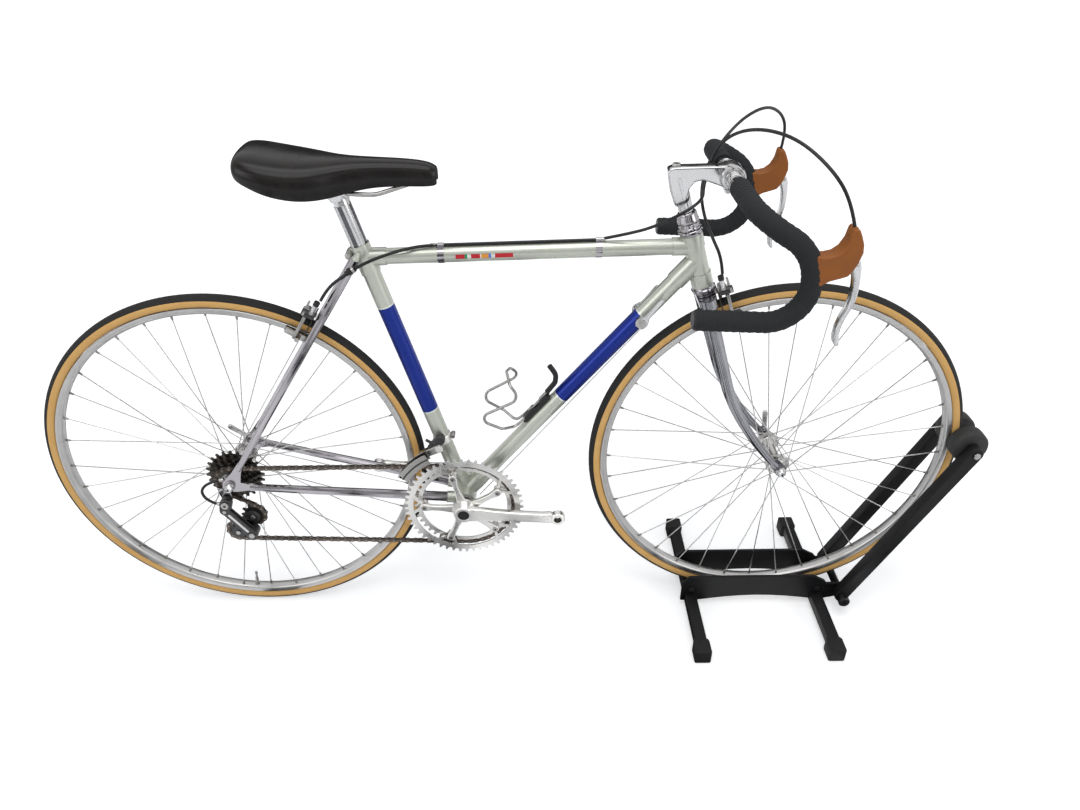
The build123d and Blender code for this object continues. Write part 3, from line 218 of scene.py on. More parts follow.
# %% Floor
floor_glow, far_floor_glow = 0.42, 0.74
bpy.ops.object.select_all(action="DESELECT")
bpy.ops.mesh.primitive_plane_add(size=40, location=(0, 0, 0))
floor = bpy.context.object
floor.name = "studio_floor"
floor_paint = bpy.data.materials.new("pale_floor")
floor_paint.use_nodes = True
floor.data.materials.append(floor_paint)
tree = floor_paint.node_tree
matt = tree.nodes["Principled BSDF"]
feed(tree, matt, {"Base Color": (0.93, 0.93, 0.93, 1), "Roughness": 0.9})
place = new_node(tree, "TexCoord")
away = new_node(tree, "VectorMath", {0: place.outputs["Object"]}, operation="LENGTH")
glow_by_distance = new_node(tree, "MapRange", {
    "From Min": 0.8, "From Max": 2.6, "To Min": floor_glow, "To Max": far_floor_glow,
    "Value": away.outputs["Value"],
})
seen = seen_by_camera_or_metal(tree, new_node(tree, "LightPath"))
strength = new_node(tree, "Math", {0: seen, 1: glow_by_distance.outputs["Result"]}, operation="MULTIPLY")
glow = new_node(tree, "Emission", {"Strength": strength.outputs[0]})
both = new_node(tree, "AddShader", {0: matt.outputs[0], 1: glow.outputs[0]})
feed(tree, tree.nodes["Material Output"], {"Surface": both.outputs[0]})
print("floor nodes", len(tree.nodes))

# %% [markdown]
# ## Cables
# A brake cable's outer is springy, so from lever to brake it stands in one smooth bow.
# Each route is a short list of control points on a quadratic spline, the same points that
# the solids were swept along. The rear one is held still on the top tube, and its free span
# runs between the bars and the frame.


# %% Curve helpers
def only(piece):
    """Select one piece and nothing else."""
    bpy.ops.object.select_all(action="DESELECT")
    piece.select_set(True)
    bpy.context.view_layer.objects.active = piece


def round_curve(name, points, radius, kind="NURBS", resolution=3):
    """An open curve with a round section: a smooth spline, or straight from point to point."""
    bpy.ops.object.select_all(action="DESELECT")
    bpy.ops.curve.primitive_nurbs_path_add()
    curve = bpy.context.object
    curve.name = name
    curve.location = (0, 0, 0)
    curve.data.splines.clear()
    route = curve.data.splines.new(kind)
    route.points.add(len(points) - 1)
    for point, place in zip(route.points, points):
        point.co = (*place, 1)
    if kind == "NURBS":
        route.order_u = 3
        route.use_endpoint_u = True
        route.resolution_u = 6
    curve.data.dimensions = "3D"
    curve.data.bevel_depth = radius
    curve.data.bevel_resolution = resolution
    curve.data.use_fill_caps = True
    return curve


def centre_line(curve):
    """The points of a curve's own line, as its spline gives them."""
    bare = curve.copy()
    bare.data = curve.data.copy()
    bare.data.bevel_depth = 0
    bpy.context.collection.objects.link(bare)
    bpy.context.view_layer.update()
    mesh = bpy.data.meshes.new_from_object(bare.evaluated_get(bpy.context.evaluated_depsgraph_get()))
    spots = [v.co.copy() for v in mesh.vertices]
    bpy.data.objects.remove(bare)
    return spots


def as_mesh(curve):
    """The curve turned into a tube of faces, in its own place."""
    only(curve)
    bpy.ops.object.convert(target="MESH")
    tube = bpy.context.object
    bpy.ops.object.shade_smooth()
    return tube


def run_length(spots):
    """Length along a row of points."""
    return sum((b - a).length for a, b in zip(spots, spots[1:]))


def in_metres(points):
    """Places given in millimetres, as vectors in metres."""
    return [Vector(point) * mm for point in points]


print("curve helpers ready")

# %% Cable routes
cable_radius = 2.5 * mm
top_tube_radius = 0.0127
clip_gap = 0.0002
hood_spot = bar_centre + Vector((0.082, grip_half, -0.068))
hood_tip = hood_spot + Vector((0.0425, 0, 0.0566))
front_pivot = crown_race - steer_up * 0.0075 + steer_forward * 0.0205
front_cable_end = front_pivot + Vector((-0.004, -0.033, 0.044))
front_route = [hood_tip] + in_metres([
    (452, 181, 878), (436, 167, 908), (402, 138, 926), (358, 102, 917), (322, 76, 888),
    (300, 63, 854), (290, 40, 822), (292, 12, 794), (304, -14, 766), (318, -31, 740),
]) + [front_cable_end]
rear_route = [Vector((hood_tip.x, -hood_tip.y, hood_tip.z))] + in_metres([
    (438, -179, 880), (414, -160, 914), (380, -118, 940), (350, -68, 942), (326, -18, 928),
    (309, 26, 900), (301, 46, 862), (290, 24, 832), (284, -10, 826), (262, -30, 817),
    (238, -29, 803), (206, -20, 784), (172, -7, 770), (140, 0, 760.8),
])


def on_top_tube(x):
    """Centre of the cable that lies along the top tube."""
    share = (x - seat_node.x) / top_way.x
    return seat_node + top_way * share + Vector((0, 0, top_tube_radius + cable_radius + clip_gap))


held_route = [on_top_tube(x) for x in (0.138, 0.100, -0.080, -0.125)] + in_metres([
    (-155, -9, 752), (-192, -26, 748), (-230, -36, 736), (-262, -38, 717), (-288, -36, 697),
    (-302, -34, 675),
])
mech_side = -0.068
barrel_end = rear_axle + Vector((-0.025, mech_side - 0.009, -0.0315))
loop_route = [rear_axle + Vector((-0.012, mech_side - 0.0027, 0.016))] + in_metres([
    (-532, -73, 350), (-549, -75, 337), (-549, -76, 322), (-539, -77, 310),
]) + [barrel_end + Vector((-0.0013, 0, 0.0005))]
print("control points", len(front_route), len(rear_route), len(held_route), len(loop_route))

# %% Cables
cables = {
    "shift_loop_line": (loop_route, "shift_cable_loop", "frame"),
    "front_brake_line": (front_route, "front_brake_cable", "fork_on_stand"),
    "rear_brake_line": (rear_route, "rear_brake_cable", "bars_to_frame"),
    "top_tube_line": (held_route, "top_tube_cable", "frame"),
}
lines = {}
for name, (route, node, body) in cables.items():
    line = round_curve(name, route, cable_radius)
    spots = centre_line(line)
    line = as_mesh(line)
    if body == "bars_to_frame":
        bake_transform(line)
    else:
        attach(line, body)
    lines[name] = line
    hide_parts(node)
    print(name, "length", round(run_length(spots), 3))

# %% [markdown]
# ## Finishes
# One helper makes every finish from the same few ideas: two close colours mixed by a soft
# cloud, a roughness that wanders, and a fine grain as bump. What differs between paint,
# chrome, cloth and rubber is only how strong and how fine each of them is.


# %% Finish helper
def finish_of(name, colour, second, cloud, rough, metal=0.0, grain=900, relief=0.0, coat=0.0, shine=0.5):
    """A node material: cloudy colour, wandering roughness and fine grain (relief in millimetres)."""
    made = bpy.data.materials.new(name)
    made.use_nodes = True
    tree = made.node_tree
    shader = tree.nodes["Principled BSDF"]
    place = new_node(tree, "TexCoord").outputs["Object"]
    clouds = new_node(tree, "TexNoise", {"Scale": cloud, "Detail": 5, "Vector": place}).outputs["Fac"]
    colours = {"A": (*colour, 1), "B": (*second, 1), "Factor": clouds}
    worn = {"From Min": 0.3, "From Max": 0.7, "To Min": rough[0], "To Max": rough[1], "Value": clouds}
    feed(tree, shader, {
        "Base Color": new_node(tree, "Mix", colours, data_type="RGBA").outputs["Result"],
        "Roughness": new_node(tree, "MapRange", worn).outputs["Result"],
        "Metallic": metal,
        "Specular IOR Level": shine,
        "Coat Weight": coat,
        "Coat Roughness": 0.12,
    })
    if relief:
        fine = new_node(tree, "TexNoise", {"Scale": grain, "Detail": 2, "Vector": place})
        bump = new_node(tree, "Bump", {
            "Distance": relief * mm, "Strength": 0.6, "Height": fine.outputs["Fac"],
        })
        feed(tree, shader, {"Normal": bump.outputs["Normal"]})
    return made


print("finish helper ready")

# %% Metal and paint
# Each row: two colours, cloud scale, roughness range, metal, grain scale, relief, coat, shine.
metal_looks = {
    "frame_paint": ((0.45, 0.468, 0.41), (0.56, 0.578, 0.505), 9, (0.24, 0.36), 0.6, 2600, 0.02, 0.25),
    "chrome": ((0.27, 0.255, 0.275), (0.44, 0.425, 0.445), 26, (0.06, 0.16), 1.0, 160, 0.004),
    # The fork's row is the stays' chrome with a darker colour painted in for the dark reflections on the
    # fork.
    "fork_chrome_painted_reflection": ((0.16, 0.16, 0.175), (0.32, 0.32, 0.34), 30, (0.06, 0.16), 1.0, 160, 0.004),
    "polished_alloy": ((0.44, 0.44, 0.45), (0.60, 0.60, 0.60), 24, (0.09, 0.20), 1.0, 160, 0.004),
    "crank_alloy": ((0.70, 0.69, 0.67), (0.84, 0.83, 0.81), 28, (0.22, 0.38), 1.0, 900, 0.008),
    "mech_alloy": ((0.24, 0.235, 0.225), (0.44, 0.43, 0.42), 60, (0.2, 0.4), 1.0, 900, 0.04),
    "mech_black": ((0.012, 0.012, 0.013), (0.035, 0.034, 0.034), 60, (0.28, 0.45), 0.2, 1200, 0.05, 0.3),
    "dark_steel": ((0.040, 0.037, 0.034), (0.13, 0.115, 0.10), 90, (0.28, 0.5), 0.9, 900, 0.05),
    "hub_alloy": ((0.50, 0.49, 0.48), (0.68, 0.67, 0.66), 60, (0.18, 0.34), 1.0, 900, 0.03),
    "rim_silver": ((0.40, 0.395, 0.39), (0.58, 0.575, 0.57), 40, (0.26, 0.42), 0.95, 1200, 0.03),
    "spoke_steel": ((0.44, 0.435, 0.43), (0.62, 0.61, 0.60), 80, (0.22, 0.36), 1.0),
    "nipple_dark": ((0.20, 0.19, 0.17), (0.34, 0.32, 0.29), 80, (0.35, 0.5), 0.9),
    "bare_steel": ((0.32, 0.31, 0.30), (0.50, 0.49, 0.48), 60, (0.2, 0.4), 1.0, 900, 0.006),
    "wire_plate": ((0.26, 0.25, 0.24), (0.42, 0.41, 0.40), 60, (0.2, 0.38), 1.0),
    "chain_dark": ((0.055, 0.045, 0.038), (0.17, 0.14, 0.12), 160, (0.3, 0.5), 0.9),
    "chain_worn": ((0.22, 0.19, 0.17), (0.36, 0.33, 0.30), 160, (0.25, 0.4), 0.95),
    "post_flute": ((0.06, 0.06, 0.065), (0.16, 0.16, 0.17), 60, (0.25, 0.4), 0.9),
}
print("metal and paint", len(metal_looks))

# %% Rubber, plastic, leather and cloth
# Each row: two colours, cloud scale, roughness range, grain scale, relief, shine.
soft_looks = {
    "stand_black": ((0.003, 0.003, 0.0034), (0.007, 0.007, 0.008), 30, (0.36, 0.55), 1500, 0.06, 0.22),
    "cap_rubber": ((0.010, 0.010, 0.010), (0.022, 0.021, 0.020), 50, (0.6, 0.8), 900, 0.10, 0.22),
    "pad_black": ((0.010, 0.010, 0.010), (0.024, 0.023, 0.022), 60, (0.55, 0.75), 900, 0.12, 0.5),
    "pad_rubber": ((0.01, 0.01, 0.01), (0.03, 0.028, 0.026), 60, (0.6, 0.8), 900, 0.1, 0.5),
    "black_plastic": ((0.006, 0.006, 0.0065), (0.014, 0.014, 0.015), 40, (0.3, 0.5), 1200, 0.05, 0.35),
    "cable_housing": ((0.005, 0.005, 0.005), (0.011, 0.011, 0.012), 60, (0.25, 0.4), 0, 0, 0.35),
    "hood_brown": ((0.21, 0.062, 0.009), (0.33, 0.106, 0.016), 45, (0.45, 0.65), 1600, 0.12, 0.35),
    "saddle_black": ((0.0045, 0.0035, 0.0032), (0.011, 0.0085, 0.0075), 30, (0.16, 0.30), 1800, 0.08, 0.24),
    "tape_black": ((0.016, 0.017, 0.018), (0.034, 0.035, 0.037), 120, (0.65, 0.85), 2200, 0.25, 0.15),
    "tyre_tread": ((0.014, 0.014, 0.0135), (0.034, 0.033, 0.031), 60, (0.6, 0.85), 1400, 0.35, 0.2),
    "tyre_wall": ((0.62, 0.33, 0.085), (0.76, 0.47, 0.17), 35, (0.6, 0.8), 2400, 0.20, 0.5),
}
finishes = {name: finish_of(name, *look) for name, look in metal_looks.items()}
for name, (colour, second, cloud, rough, grain, relief, shine) in soft_looks.items():
    finishes[name] = finish_of(name, colour, second, cloud, rough, grain=grain, relief=relief, shine=shine)
print("finishes", len(finishes))

# %% [markdown]
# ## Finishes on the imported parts
# Tubes, lugs, stays, the fork's crown, the bar, the chainrings and the sprockets already
# have their true shapes. Each one only gets its finish, put into the material slot that
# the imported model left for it. The parts that finer pieces stand for get theirs as well,
# so that the plain model can be looked at in the same colours.

# %% Finish by part
finish_by_node = {
    "frame_paint": ["head_tube", "top_tube", "down_tube", "seat_tube", "seat_lug", "bottom_bracket"],
    "chrome": [
        "chainstays", "seatstays", "dropouts", "brake_bridge", "cable_clips", "headset_cups",
        "headset_nuts",
    ],
    # The fork takes the chrome with a painted dark reflection.
    "fork_chrome_painted_reflection": ["fork_crown", "fork_blades", "fork_tips"],
    "polished_alloy": [
        "stem", "handlebar", "brake_levers", "front_brake", "rear_brake", "seatpost", "shifters",
    ],
    "crank_alloy": ["right_crank", "left_crank", "big_chainring", "small_chainring"],
    "mech_alloy": ["rear_derailleur", "front_derailleur"],
    "dark_steel": ["chain", "freewheel"],
    "hub_alloy": ["front_hub", "rear_hub", "front_rim", "rear_rim"],
    "spoke_steel": ["front_spokes", "rear_spokes"],
    "bare_steel": ["front_skewer", "rear_skewer", "saddle_rails", "crank_spindle"],
    "stand_black": ["stand_base", "stand_arms"],
    "cap_rubber": ["stand_caps", "front_tyre", "rear_tyre"],
    "black_plastic": ["stand_grips"],
    "hood_brown": ["lever_hoods"],
    "saddle_black": ["saddle"],
    "tape_black": ["bar_tape"],
    "wire_plate": ["bottle_cage"],
}


def painted(piece, *names):
    """Give a piece its finishes; the first one covers all of it."""
    piece.data.materials.clear()
    for name in names:
        piece.data.materials.append(finishes[name])
    return piece


for finish, names in finish_by_node.items():
    for name in names:
        painted(nodes[name], finish)
for line in lines.values():
    painted(line, "cable_housing")
print("finished", sum(len(names) for names in finish_by_node.values()), "parts and", len(lines), "cables")

# %% [markdown]
# ## Hands for modelling
# Almost every piece of a bicycle starts as one of four moves: a section spun round an
# axle, an outline pulled into a plate, a rod between two points, or a wire along a route.
# Each move adds a primitive, shapes it in edit mode and leaves the piece's place in its
# mesh, so that its object sits unturned at the origin.


# %% Editing and easing
def settled(name):
    """Name the piece just added and put its place in its mesh."""
    piece = bpy.context.object
    piece.name = name
    piece.data.name = name
    bpy.ops.object.transform_apply(location=True, rotation=True, scale=True)
    return piece


@contextmanager
def editing(piece):
    """Edit mode on one piece with all of it selected."""
    only(piece)
    bpy.ops.object.mode_set(mode="EDIT")
    bpy.ops.mesh.select_all(action="SELECT")
    yield
    bpy.ops.object.mode_set(mode="OBJECT")


def faced_outwards(weld=0.0):
    """In edit mode: merge doubles closer than a distance, and turn all faces outwards."""
    bpy.ops.mesh.select_all(action="SELECT")
    if weld:
        bpy.ops.mesh.remove_doubles(threshold=weld)
    bpy.ops.mesh.normals_make_consistent(inside=False)


def smoothed(piece, angle=35):
    """Shade a piece smoothly, apart from edges sharper than an angle in degrees."""
    only(piece)
    bpy.ops.object.shade_smooth_by_angle(angle=radians(angle))
    return piece


def eased(piece, width, segments=2):
    """Round the edges that turn by more than 30 degrees."""
    only(piece)
    rounding = piece.modifiers.new("rounding", "BEVEL")
    rounding.width = width
    rounding.segments = segments
    rounding.limit_method = "ANGLE"
    rounding.angle_limit = radians(30)
    bpy.ops.object.modifier_apply(modifier=rounding.name)
    return smoothed(piece)


def calmed(piece, margin=0.0005):
    """Inset the broad flat faces, so that the soft shading of the rounded edges stays at their rims."""
    with editing(piece):
        bpy.ops.mesh.select_mode(type="FACE")
        bpy.ops.mesh.select_all(action="DESELECT")
    for face in piece.data.polygons:
        face.select = len(face.vertices) > 8
    bpy.ops.object.mode_set(mode="EDIT")
    bpy.ops.mesh.inset(thickness=margin, depth=0)
    bpy.ops.mesh.select_mode(type="VERT")
    bpy.ops.object.mode_set(mode="OBJECT")
    return piece


weld_gap = 0.00002
print("editing helpers ready")


# %% Spun bodies and plates
def corner_ring(name, corners, fill="NOTHING"):
    """A closed ring of edges through chosen corners."""
    bpy.ops.object.select_all(action="DESELECT")
    bpy.ops.mesh.primitive_circle_add(vertices=len(corners), fill_type=fill)
    piece = settled(name)
    for vertex, corner in zip(piece.data.vertices, corners):
        vertex.co = corner
    return piece


def spun_ring(name, corners, centre, axis, steps):
    """A body spun about an axis from a closed ring of corners."""
    piece = corner_ring(name, corners)
    with editing(piece):
        bpy.ops.mesh.spin(steps=steps, angle=2 * pi, center=centre, axis=axis)
        faced_outwards(weld_gap)
    return smoothed(piece)


def spun(name, centre, section, steps=64):
    """A body spun about a left-right axle from a closed (y, radius) section in millimetres."""
    corners = [centre + Vector((0, y, radius)) * mm for y, radius in section]
    return spun_ring(name, corners, centre, left, steps)


def plate(name, outline, y_low, y_high, round_edge=0.0, segments=2):
    """A plate from a side outline of (x, z) corners, between two places across the bicycle."""
    piece = corner_ring(name, [Vector((x, y_high, z)) for x, z in outline], "NGON")
    with editing(piece):
        bpy.ops.mesh.extrude_region_move(TRANSFORM_OT_translate={"value": (0, y_low - y_high, 0)})
        faced_outwards()
    return calmed(eased(piece, round_edge, segments)) if round_edge else smoothed(piece)


def bent_grid(name, rows, columns):
    """A grid with its corners listed row by row, to be bent into a skin."""
    bpy.ops.object.select_all(action="DESELECT")
    bpy.ops.mesh.primitive_grid_add(x_subdivisions=columns - 1, y_subdivisions=rows - 1, size=1)
    piece = settled(name)
    return piece, sorted(piece.data.vertices, key=lambda v: (round(v.co.y, 4), round(v.co.x, 4)))


print("spun, plate and grid moves ready")


# %% Rods and wires
def rod(name, start, end, radius, end_radius=None, sides=20):
    """A round rod or a taper from one point to another."""
    way = end - start
    bpy.ops.object.select_all(action="DESELECT")
    bpy.ops.mesh.primitive_cone_add(
        vertices=sides, radius1=radius, radius2=radius if end_radius is None else end_radius,
        depth=way.length, location=(start + end) / 2, rotation=way.to_track_quat("Z", "Y").to_euler(),
    )
    return smoothed(settled(name))


def across(name, centre, radius, y_low, y_high, sides=24, round_edge=0.0):
    """A disc or pin that lies across the bicycle."""
    start, end = Vector((centre.x, y_low, centre.z)), Vector((centre.x, y_high, centre.z))
    pin = rod(name, start, end, radius, sides=sides)
    return eased(pin, round_edge) if round_edge else pin


def wire(name, points, radius, resolution=3):
    """A bent wire or tube along a row of points, made into a mesh."""
    as_mesh(round_curve(name, points, radius, "POLY", resolution))
    return smoothed(settled(name), 60)


print("rod and wire moves ready")


# %% Copies and joins
def joined(name, pieces):
    """One piece made from several."""
    bpy.ops.object.select_all(action="DESELECT")
    for piece in pieces:
        piece.select_set(True)
    bpy.context.view_layer.objects.active = pieces[0]
    if len(pieces) > 1:
        bpy.ops.object.join()
    pieces[0].name = name
    pieces[0].data.name = name
    return pieces[0]


def moved_copy(piece, move):
    """A copy of a piece with its own mesh, moved by a matrix."""
    twin = piece.copy()
    twin.data = piece.data.copy()
    bpy.context.collection.objects.link(twin)
    twin.data.transform(move)
    if move.determinant() < 0:
        twin.data.flip_normals()
    return twin


def turned(piece, degrees, centre):
    """A copy turned about a left-right axle, from forwards towards up."""
    turn = Matrix.Rotation(-radians(degrees), 4, "Y")
    return moved_copy(piece, Matrix.Translation(centre) @ turn @ Matrix.Translation(-centre))


def both_hands(name, piece):
    """A left piece joined with its mirror image on the right."""
    return joined(name, [piece, moved_copy(piece, Matrix.Scale(-1, 4, (0, 1, 0)))])


def repaint(piece, index, wanted):
    """Give a later finish to the faces that a test of their centre picks."""
    for face in piece.data.polygons:
        if wanted(face.center):
            face.material_index = index


def placed(piece, body, slot, *stands_for):
    """Let a finished piece ride on its body and stand for the plain parts it replaces."""
    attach(piece, body)
    if stands_for:
        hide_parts(*stands_for)
    return piece


def assembled(name, rows):
    """One piece from rows of (finish, part)."""
    return joined(name, [painted(part, finish) for finish, part in rows])


print("copying, joining and placing ready")


# %% Outlines and sections
def halves(half):
    """A closed section from its half at positive y."""
    return half + [(-y, radius) for y, radius in reversed(half) if y]


def facing(side, section):
    """A (y, radius) section as it is for side 1, or mirrored across for side -1."""
    return [(side * y, radius) for y, radius in section]


def side_span(side, near, far):
    """Low and high place across the bicycle, from two distances off its middle on one side."""
    return sorted((side * near, side * far))


def both_sides(near, far):
    """The span of a left part, and the span of its twin on the right."""
    return side_span(1, near, far), side_span(-1, near, far)


def outlined(corners, centre=Vector()):
    """A side outline from (x, z) corners in millimetres about a place."""
    return [(centre.x + x * mm, centre.z + z * mm) for x, z in corners]


def side_view(spots):
    """The (x, z) of points, as a side outline."""
    return [(spot.x, spot.z) for spot in spots]


def polar(centre, degrees, radius, y=0.0):
    """A point round an axle, in metres."""
    turn = radians(degrees)
    return centre + Vector((radius * cos(turn), y, radius * sin(turn)))


print("outline helpers ready")

# %% [markdown]
# ## Tyres
# These are narrow tubular tyres: a tan cotton casing with a black tread glued round it.
# One closed section is spun round the axle, and the faces near the ground get the tread's
# finish. The tread carries fine grooves, because a smooth ring would look like plastic.

# %% Tyres
tread_edge = 0.3278
tyre_half = [
    (0.0, 336.0), (1.6, 335.9), (1.9, 335.4), (2.2, 335.8), (4.0, 335.3), (4.3, 334.8), (4.6, 335.0),
    (6.4, 333.9), (6.7, 333.4), (7.0, 333.5), (8.8, 331.3), (9.9, 328.6), (10.1, 327.8),
    (10.6, 326.4), (10.9, 323.0), (10.2, 319.2), (8.6, 316.6), (6.9, 315.4),
]
wheels = (("front", front_axle, "front_wheel"), ("rear", rear_axle, "rear_wheel"))
for end, axle, body in wheels:
    tyre = spun(f"{end}_tubular_tyre", axle, halves(tyre_half), 192)
    painted(tyre, "tyre_wall", "tyre_tread")
    repaint(tyre, 1, lambda spot: (spot - Vector((axle.x, spot.y, axle.z))).length > tread_edge)
    placed(tyre, body, "tyre", f"{end}_tyre")
    print(tyre.name, "faces", len(tyre.data.polygons))

# %% [markdown]
# ## Rims, spokes and hubs
# A wheel of this age has 36 spokes that cross three others on their way to the rim. Four
# spokes, two on each side, repeat nine times, so those four are made with their nipples
# and copied round. Each spoke follows the same rule as the solid under it.

# %% Rims
rim_half = [
    (0.0, 303.0), (5.0, 303.1), (8.6, 304.6), (10.0, 306.6), (10.25, 308.0),
    (10.1, 308.4), (10.25, 308.8), (10.25, 314.4), (9.6, 314.9), (8.4, 314.3), (4.0, 313.2), (0.0, 312.8),
]
valve_turns = {"front": 75, "rear": -95}
# Outer end, inner end, radius and sides of the valve's stem, nut, core and knob.
valve_steps = (
    (0.3040, 0.2860, 0.0030, 16), (0.3030, 0.3000, 0.0050, 6),
    (0.2860, 0.2760, 0.0020, 12), (0.2760, 0.2710, 0.0026, 12),
)
for end, axle, body in wheels:
    turn = valve_turns[end]
    rows = [("rim_silver", spun(f"{end}_rim_hoop", axle, halves(rim_half), 192))]
    for outer, inner, radius, sides in valve_steps:
        step = rod("valve", polar(axle, turn, outer), polar(axle, turn, inner), radius, sides=sides)
        rows.append(("bare_steel", step))
    rim = assembled(f"{end}_rim_hoop", rows)
    placed(rim, body, "rim_alloy", f"{end}_rim")
    print(rim.name, "faces", len(rim.data.polygons))

# %% Spokes and nipples
flanges = {"front": (34.0, -34.0), "rear": (34.0, -20.0)}
hole_step, cross_sweep = 20.0, 60.0
hole_circle, rim_seat = 0.0175, 0.3025
spoke_radius, nipple_length, rim_stagger = 0.0010, 0.0065, 0.0025
for end, axle, body in wheels:
    rows = []
    for side, flange in zip((1, -1), flanges[end]):
        for hole, lead in ((0, -1), (1, 1)):
            hub_turn = hole_step * hole + (hole_step / 2 if side > 0 else 0)
            rim_turn = hub_turn + lead * cross_sweep
            beside = 2.5 + (1.4 if lead > 0 else 0.2)
            inner = polar(axle, hub_turn, hole_circle, (flange + side * lead * beside) * mm)
            outer = polar(axle, rim_turn, rim_seat, side * rim_stagger)
            way = (outer - inner).normalized()
            head_far = Vector((inner.x, (flange - side * lead * 2.4) * mm, inner.z))
            rows += [
                ("spoke_steel", rod("spoke", inner, outer - way * 0.006, spoke_radius, sides=8)),
                ("nipple_dark", rod("nipple", outer - way * nipple_length, outer, 0.0015, 0.0022, 8)),
                ("spoke_steel", rod("spoke_head", inner, head_far, 0.0016, 0.0012, 8)),
            ]
    group = assembled("spoke_group", rows)
    groups = [group] + [turned(group, 2 * hole_step * step, axle) for step in range(1, 9)]
    lacing = joined(f"{end}_laced_spokes", groups)
    placed(lacing, body, "spoke_steel", f"{end}_spokes")
    print(lacing.name, "faces", len(lacing.data.polygons))

# %% Hub shells
flange_side = [
    (31.6, 12.0), (32.2, 15.0), (32.6, 20.2), (33.2, 21.0), (34.8, 21.0), (35.4, 20.2), (35.7, 15.0),
]
front_shell = halves([(0.0, 8.8), (14.0, 9.2), (29.0, 10.0)] + flange_side + [
    (36.0, 13.5), (38.0, 13.0), (40.5, 11.5), (42.5, 9.5), (44.0, 9.0), (44.0, 5.0),
])
rear_shell = [
    (57.0, 5.0), (57.0, 9.0), (55.0, 9.5), (44.0, 10.2), (40.5, 12.0), (36.0, 13.5),
] + flange_side[::-1] + [
    (28.0, 10.0), (8.0, 9.2), (-14.0, 10.0), (-17.6, 12.0), (-18.2, 15.0), (-18.6, 20.2), (-19.2, 21.0),
    (-20.8, 21.0), (-21.4, 20.2), (-21.8, 13.9), (-57.0, 13.9), (-57.0, 5.0),
]
for (end, axle, body), section in zip(wheels, (front_shell, rear_shell)):
    shell = painted(spun(f"{end}_hub_shell", axle, section, 64), "hub_alloy")
    placed(shell, body, "hub_alloy", f"{end}_hub")
    print(shell.name, "faces", len(shell.data.polygons))

# %% [markdown]
# ## Bar tape
# Cotton tape is wound from the middle out, each turn lying half over the last. A tube is
# run along the bar's bends, then its skin is lifted in a saw-tooth that climbs once per
# turn, which gives the overlapping edges that catch the light.


# %% Bar route
def rounded_route(corners, radii, step):
    """Points along straight runs joined by true arcs, a step apart."""
    spots = [corners[0]]

    def run_to(end):
        """Add a straight run from the last point."""
        start = spots[-1]
        count = max(2, round((end - start).length / step))
        spots.extend(start.lerp(end, share / count) for share in range(1, count + 1))

    for before, here, after, radius in zip(corners, corners[1:], corners[2:], radii):
        way_in, way_out = (here - before).normalized(), (after - here).normalized()
        turn = way_in.angle(way_out)
        reach = radius * tan(turn / 2)
        inward = (way_out - way_in).normalized()
        centre = here + inward * (radius / cos(turn / 2))
        start = here - way_in * reach
        run_to(start)
        axis = way_in.cross(way_out).normalized()
        arc_count = max(3, round(radius * turn / step))
        for share in range(1, arc_count + 1):
            spots.append(centre + Matrix.Rotation(turn * share / arc_count, 3, axis) @ (start - centre))
    run_to(corners[-1])
    return spots


bar_corners = [
    bar_centre + Vector((0, 0.058, 0)),
    bar_centre + Vector((0, grip_half, 0)),
    bar_centre + Vector((0.082, grip_half, -0.050)),
    bar_centre + Vector((0.082, grip_half, -0.153)),
    bar_centre + Vector((-0.072, grip_half, -0.146)),
]
bar_route = rounded_route(bar_corners, (0.050, 0.0738, 0.0551), 0.002)
print("bar route", len(bar_route), "points")

# %% Wound tape
tape_pitch, tape_radius, tape_lift = 0.011, 0.0146, 0.0009
tape = wire("left_tape", bar_route, tape_radius, 6)
per_ring = len(tape.data.vertices) // len(bar_route)
travelled = 0.0
for number, spot in enumerate(bar_route):
    if number:
        travelled += (spot - bar_route[number - 1]).length
    for step in range(per_ring):
        vertex = tape.data.vertices[number * per_ring + step]
        climb = (travelled / tape_pitch + step / per_ring) % 1
        vertex.co += (vertex.co - spot).normalized() * (tape_lift * climb)
tape_end = bar_route[-1]
plug_way = (bar_route[-1] - bar_route[-2]).normalized()
plug = rod("plug", tape_end - plug_way * 0.001, tape_end + plug_way * 0.003, tape_radius, 0.0125, 28)
tape = assembled("left_tape", [("tape_black", tape), ("black_plastic", eased(plug, 0.001))])
tape = both_hands("wound_bar_tape", tape)
placed(tape, "fork_on_stand", "bar_tape", "bar_tape")
print("tape faces", len(tape.data.polygons), "per ring", per_ring)

# %% [markdown]
# ## Hoods and brake levers
# A hood is a rubber boot over the lever's body: thick where the palm rests, drawn up to a
# horn where the cable leaves. It is a plate of its side outline with widely rounded edges,
# and smooth shading hides the steps. The lever is a bent metal blade.

# %% Hoods
hood_half_width, lever_half_width = 0.0135, 0.0072
hood_outline = [
    (-4, 20), (10, 18.5), (21, 21), (30, 28), (36, 40), (38.5, 54), (40, 57), (46, 57), (51, 47),
    (55.5, 36), (57, 24), (53, 9), (49, 0), (43, -9), (34, -12), (20, -16), (8, -23), (-2, -26),
]
hood = plate(
    "left_hood", outlined(hood_outline, hood_spot),
    grip_half - hood_half_width, grip_half + hood_half_width, 0.0062, 4,
)
horn_top = hood_spot + Vector((0.0425, 0, 0.0560))
horn = eased(rod("hood_horn", horn_top - Vector((0, 0, 0.010)), horn_top, 0.0072, 0.0052, 20), 0.0012)
left_hood = assembled("left_hood", [("hood_brown", smoothed(hood, 80)), ("hood_brown", horn)])
hoods = both_hands("rubber_hoods", left_hood)
placed(hoods, "fork_on_stand", "hood_rubber", "lever_hoods")
print("hoods", len(hoods.data.polygons), "faces")

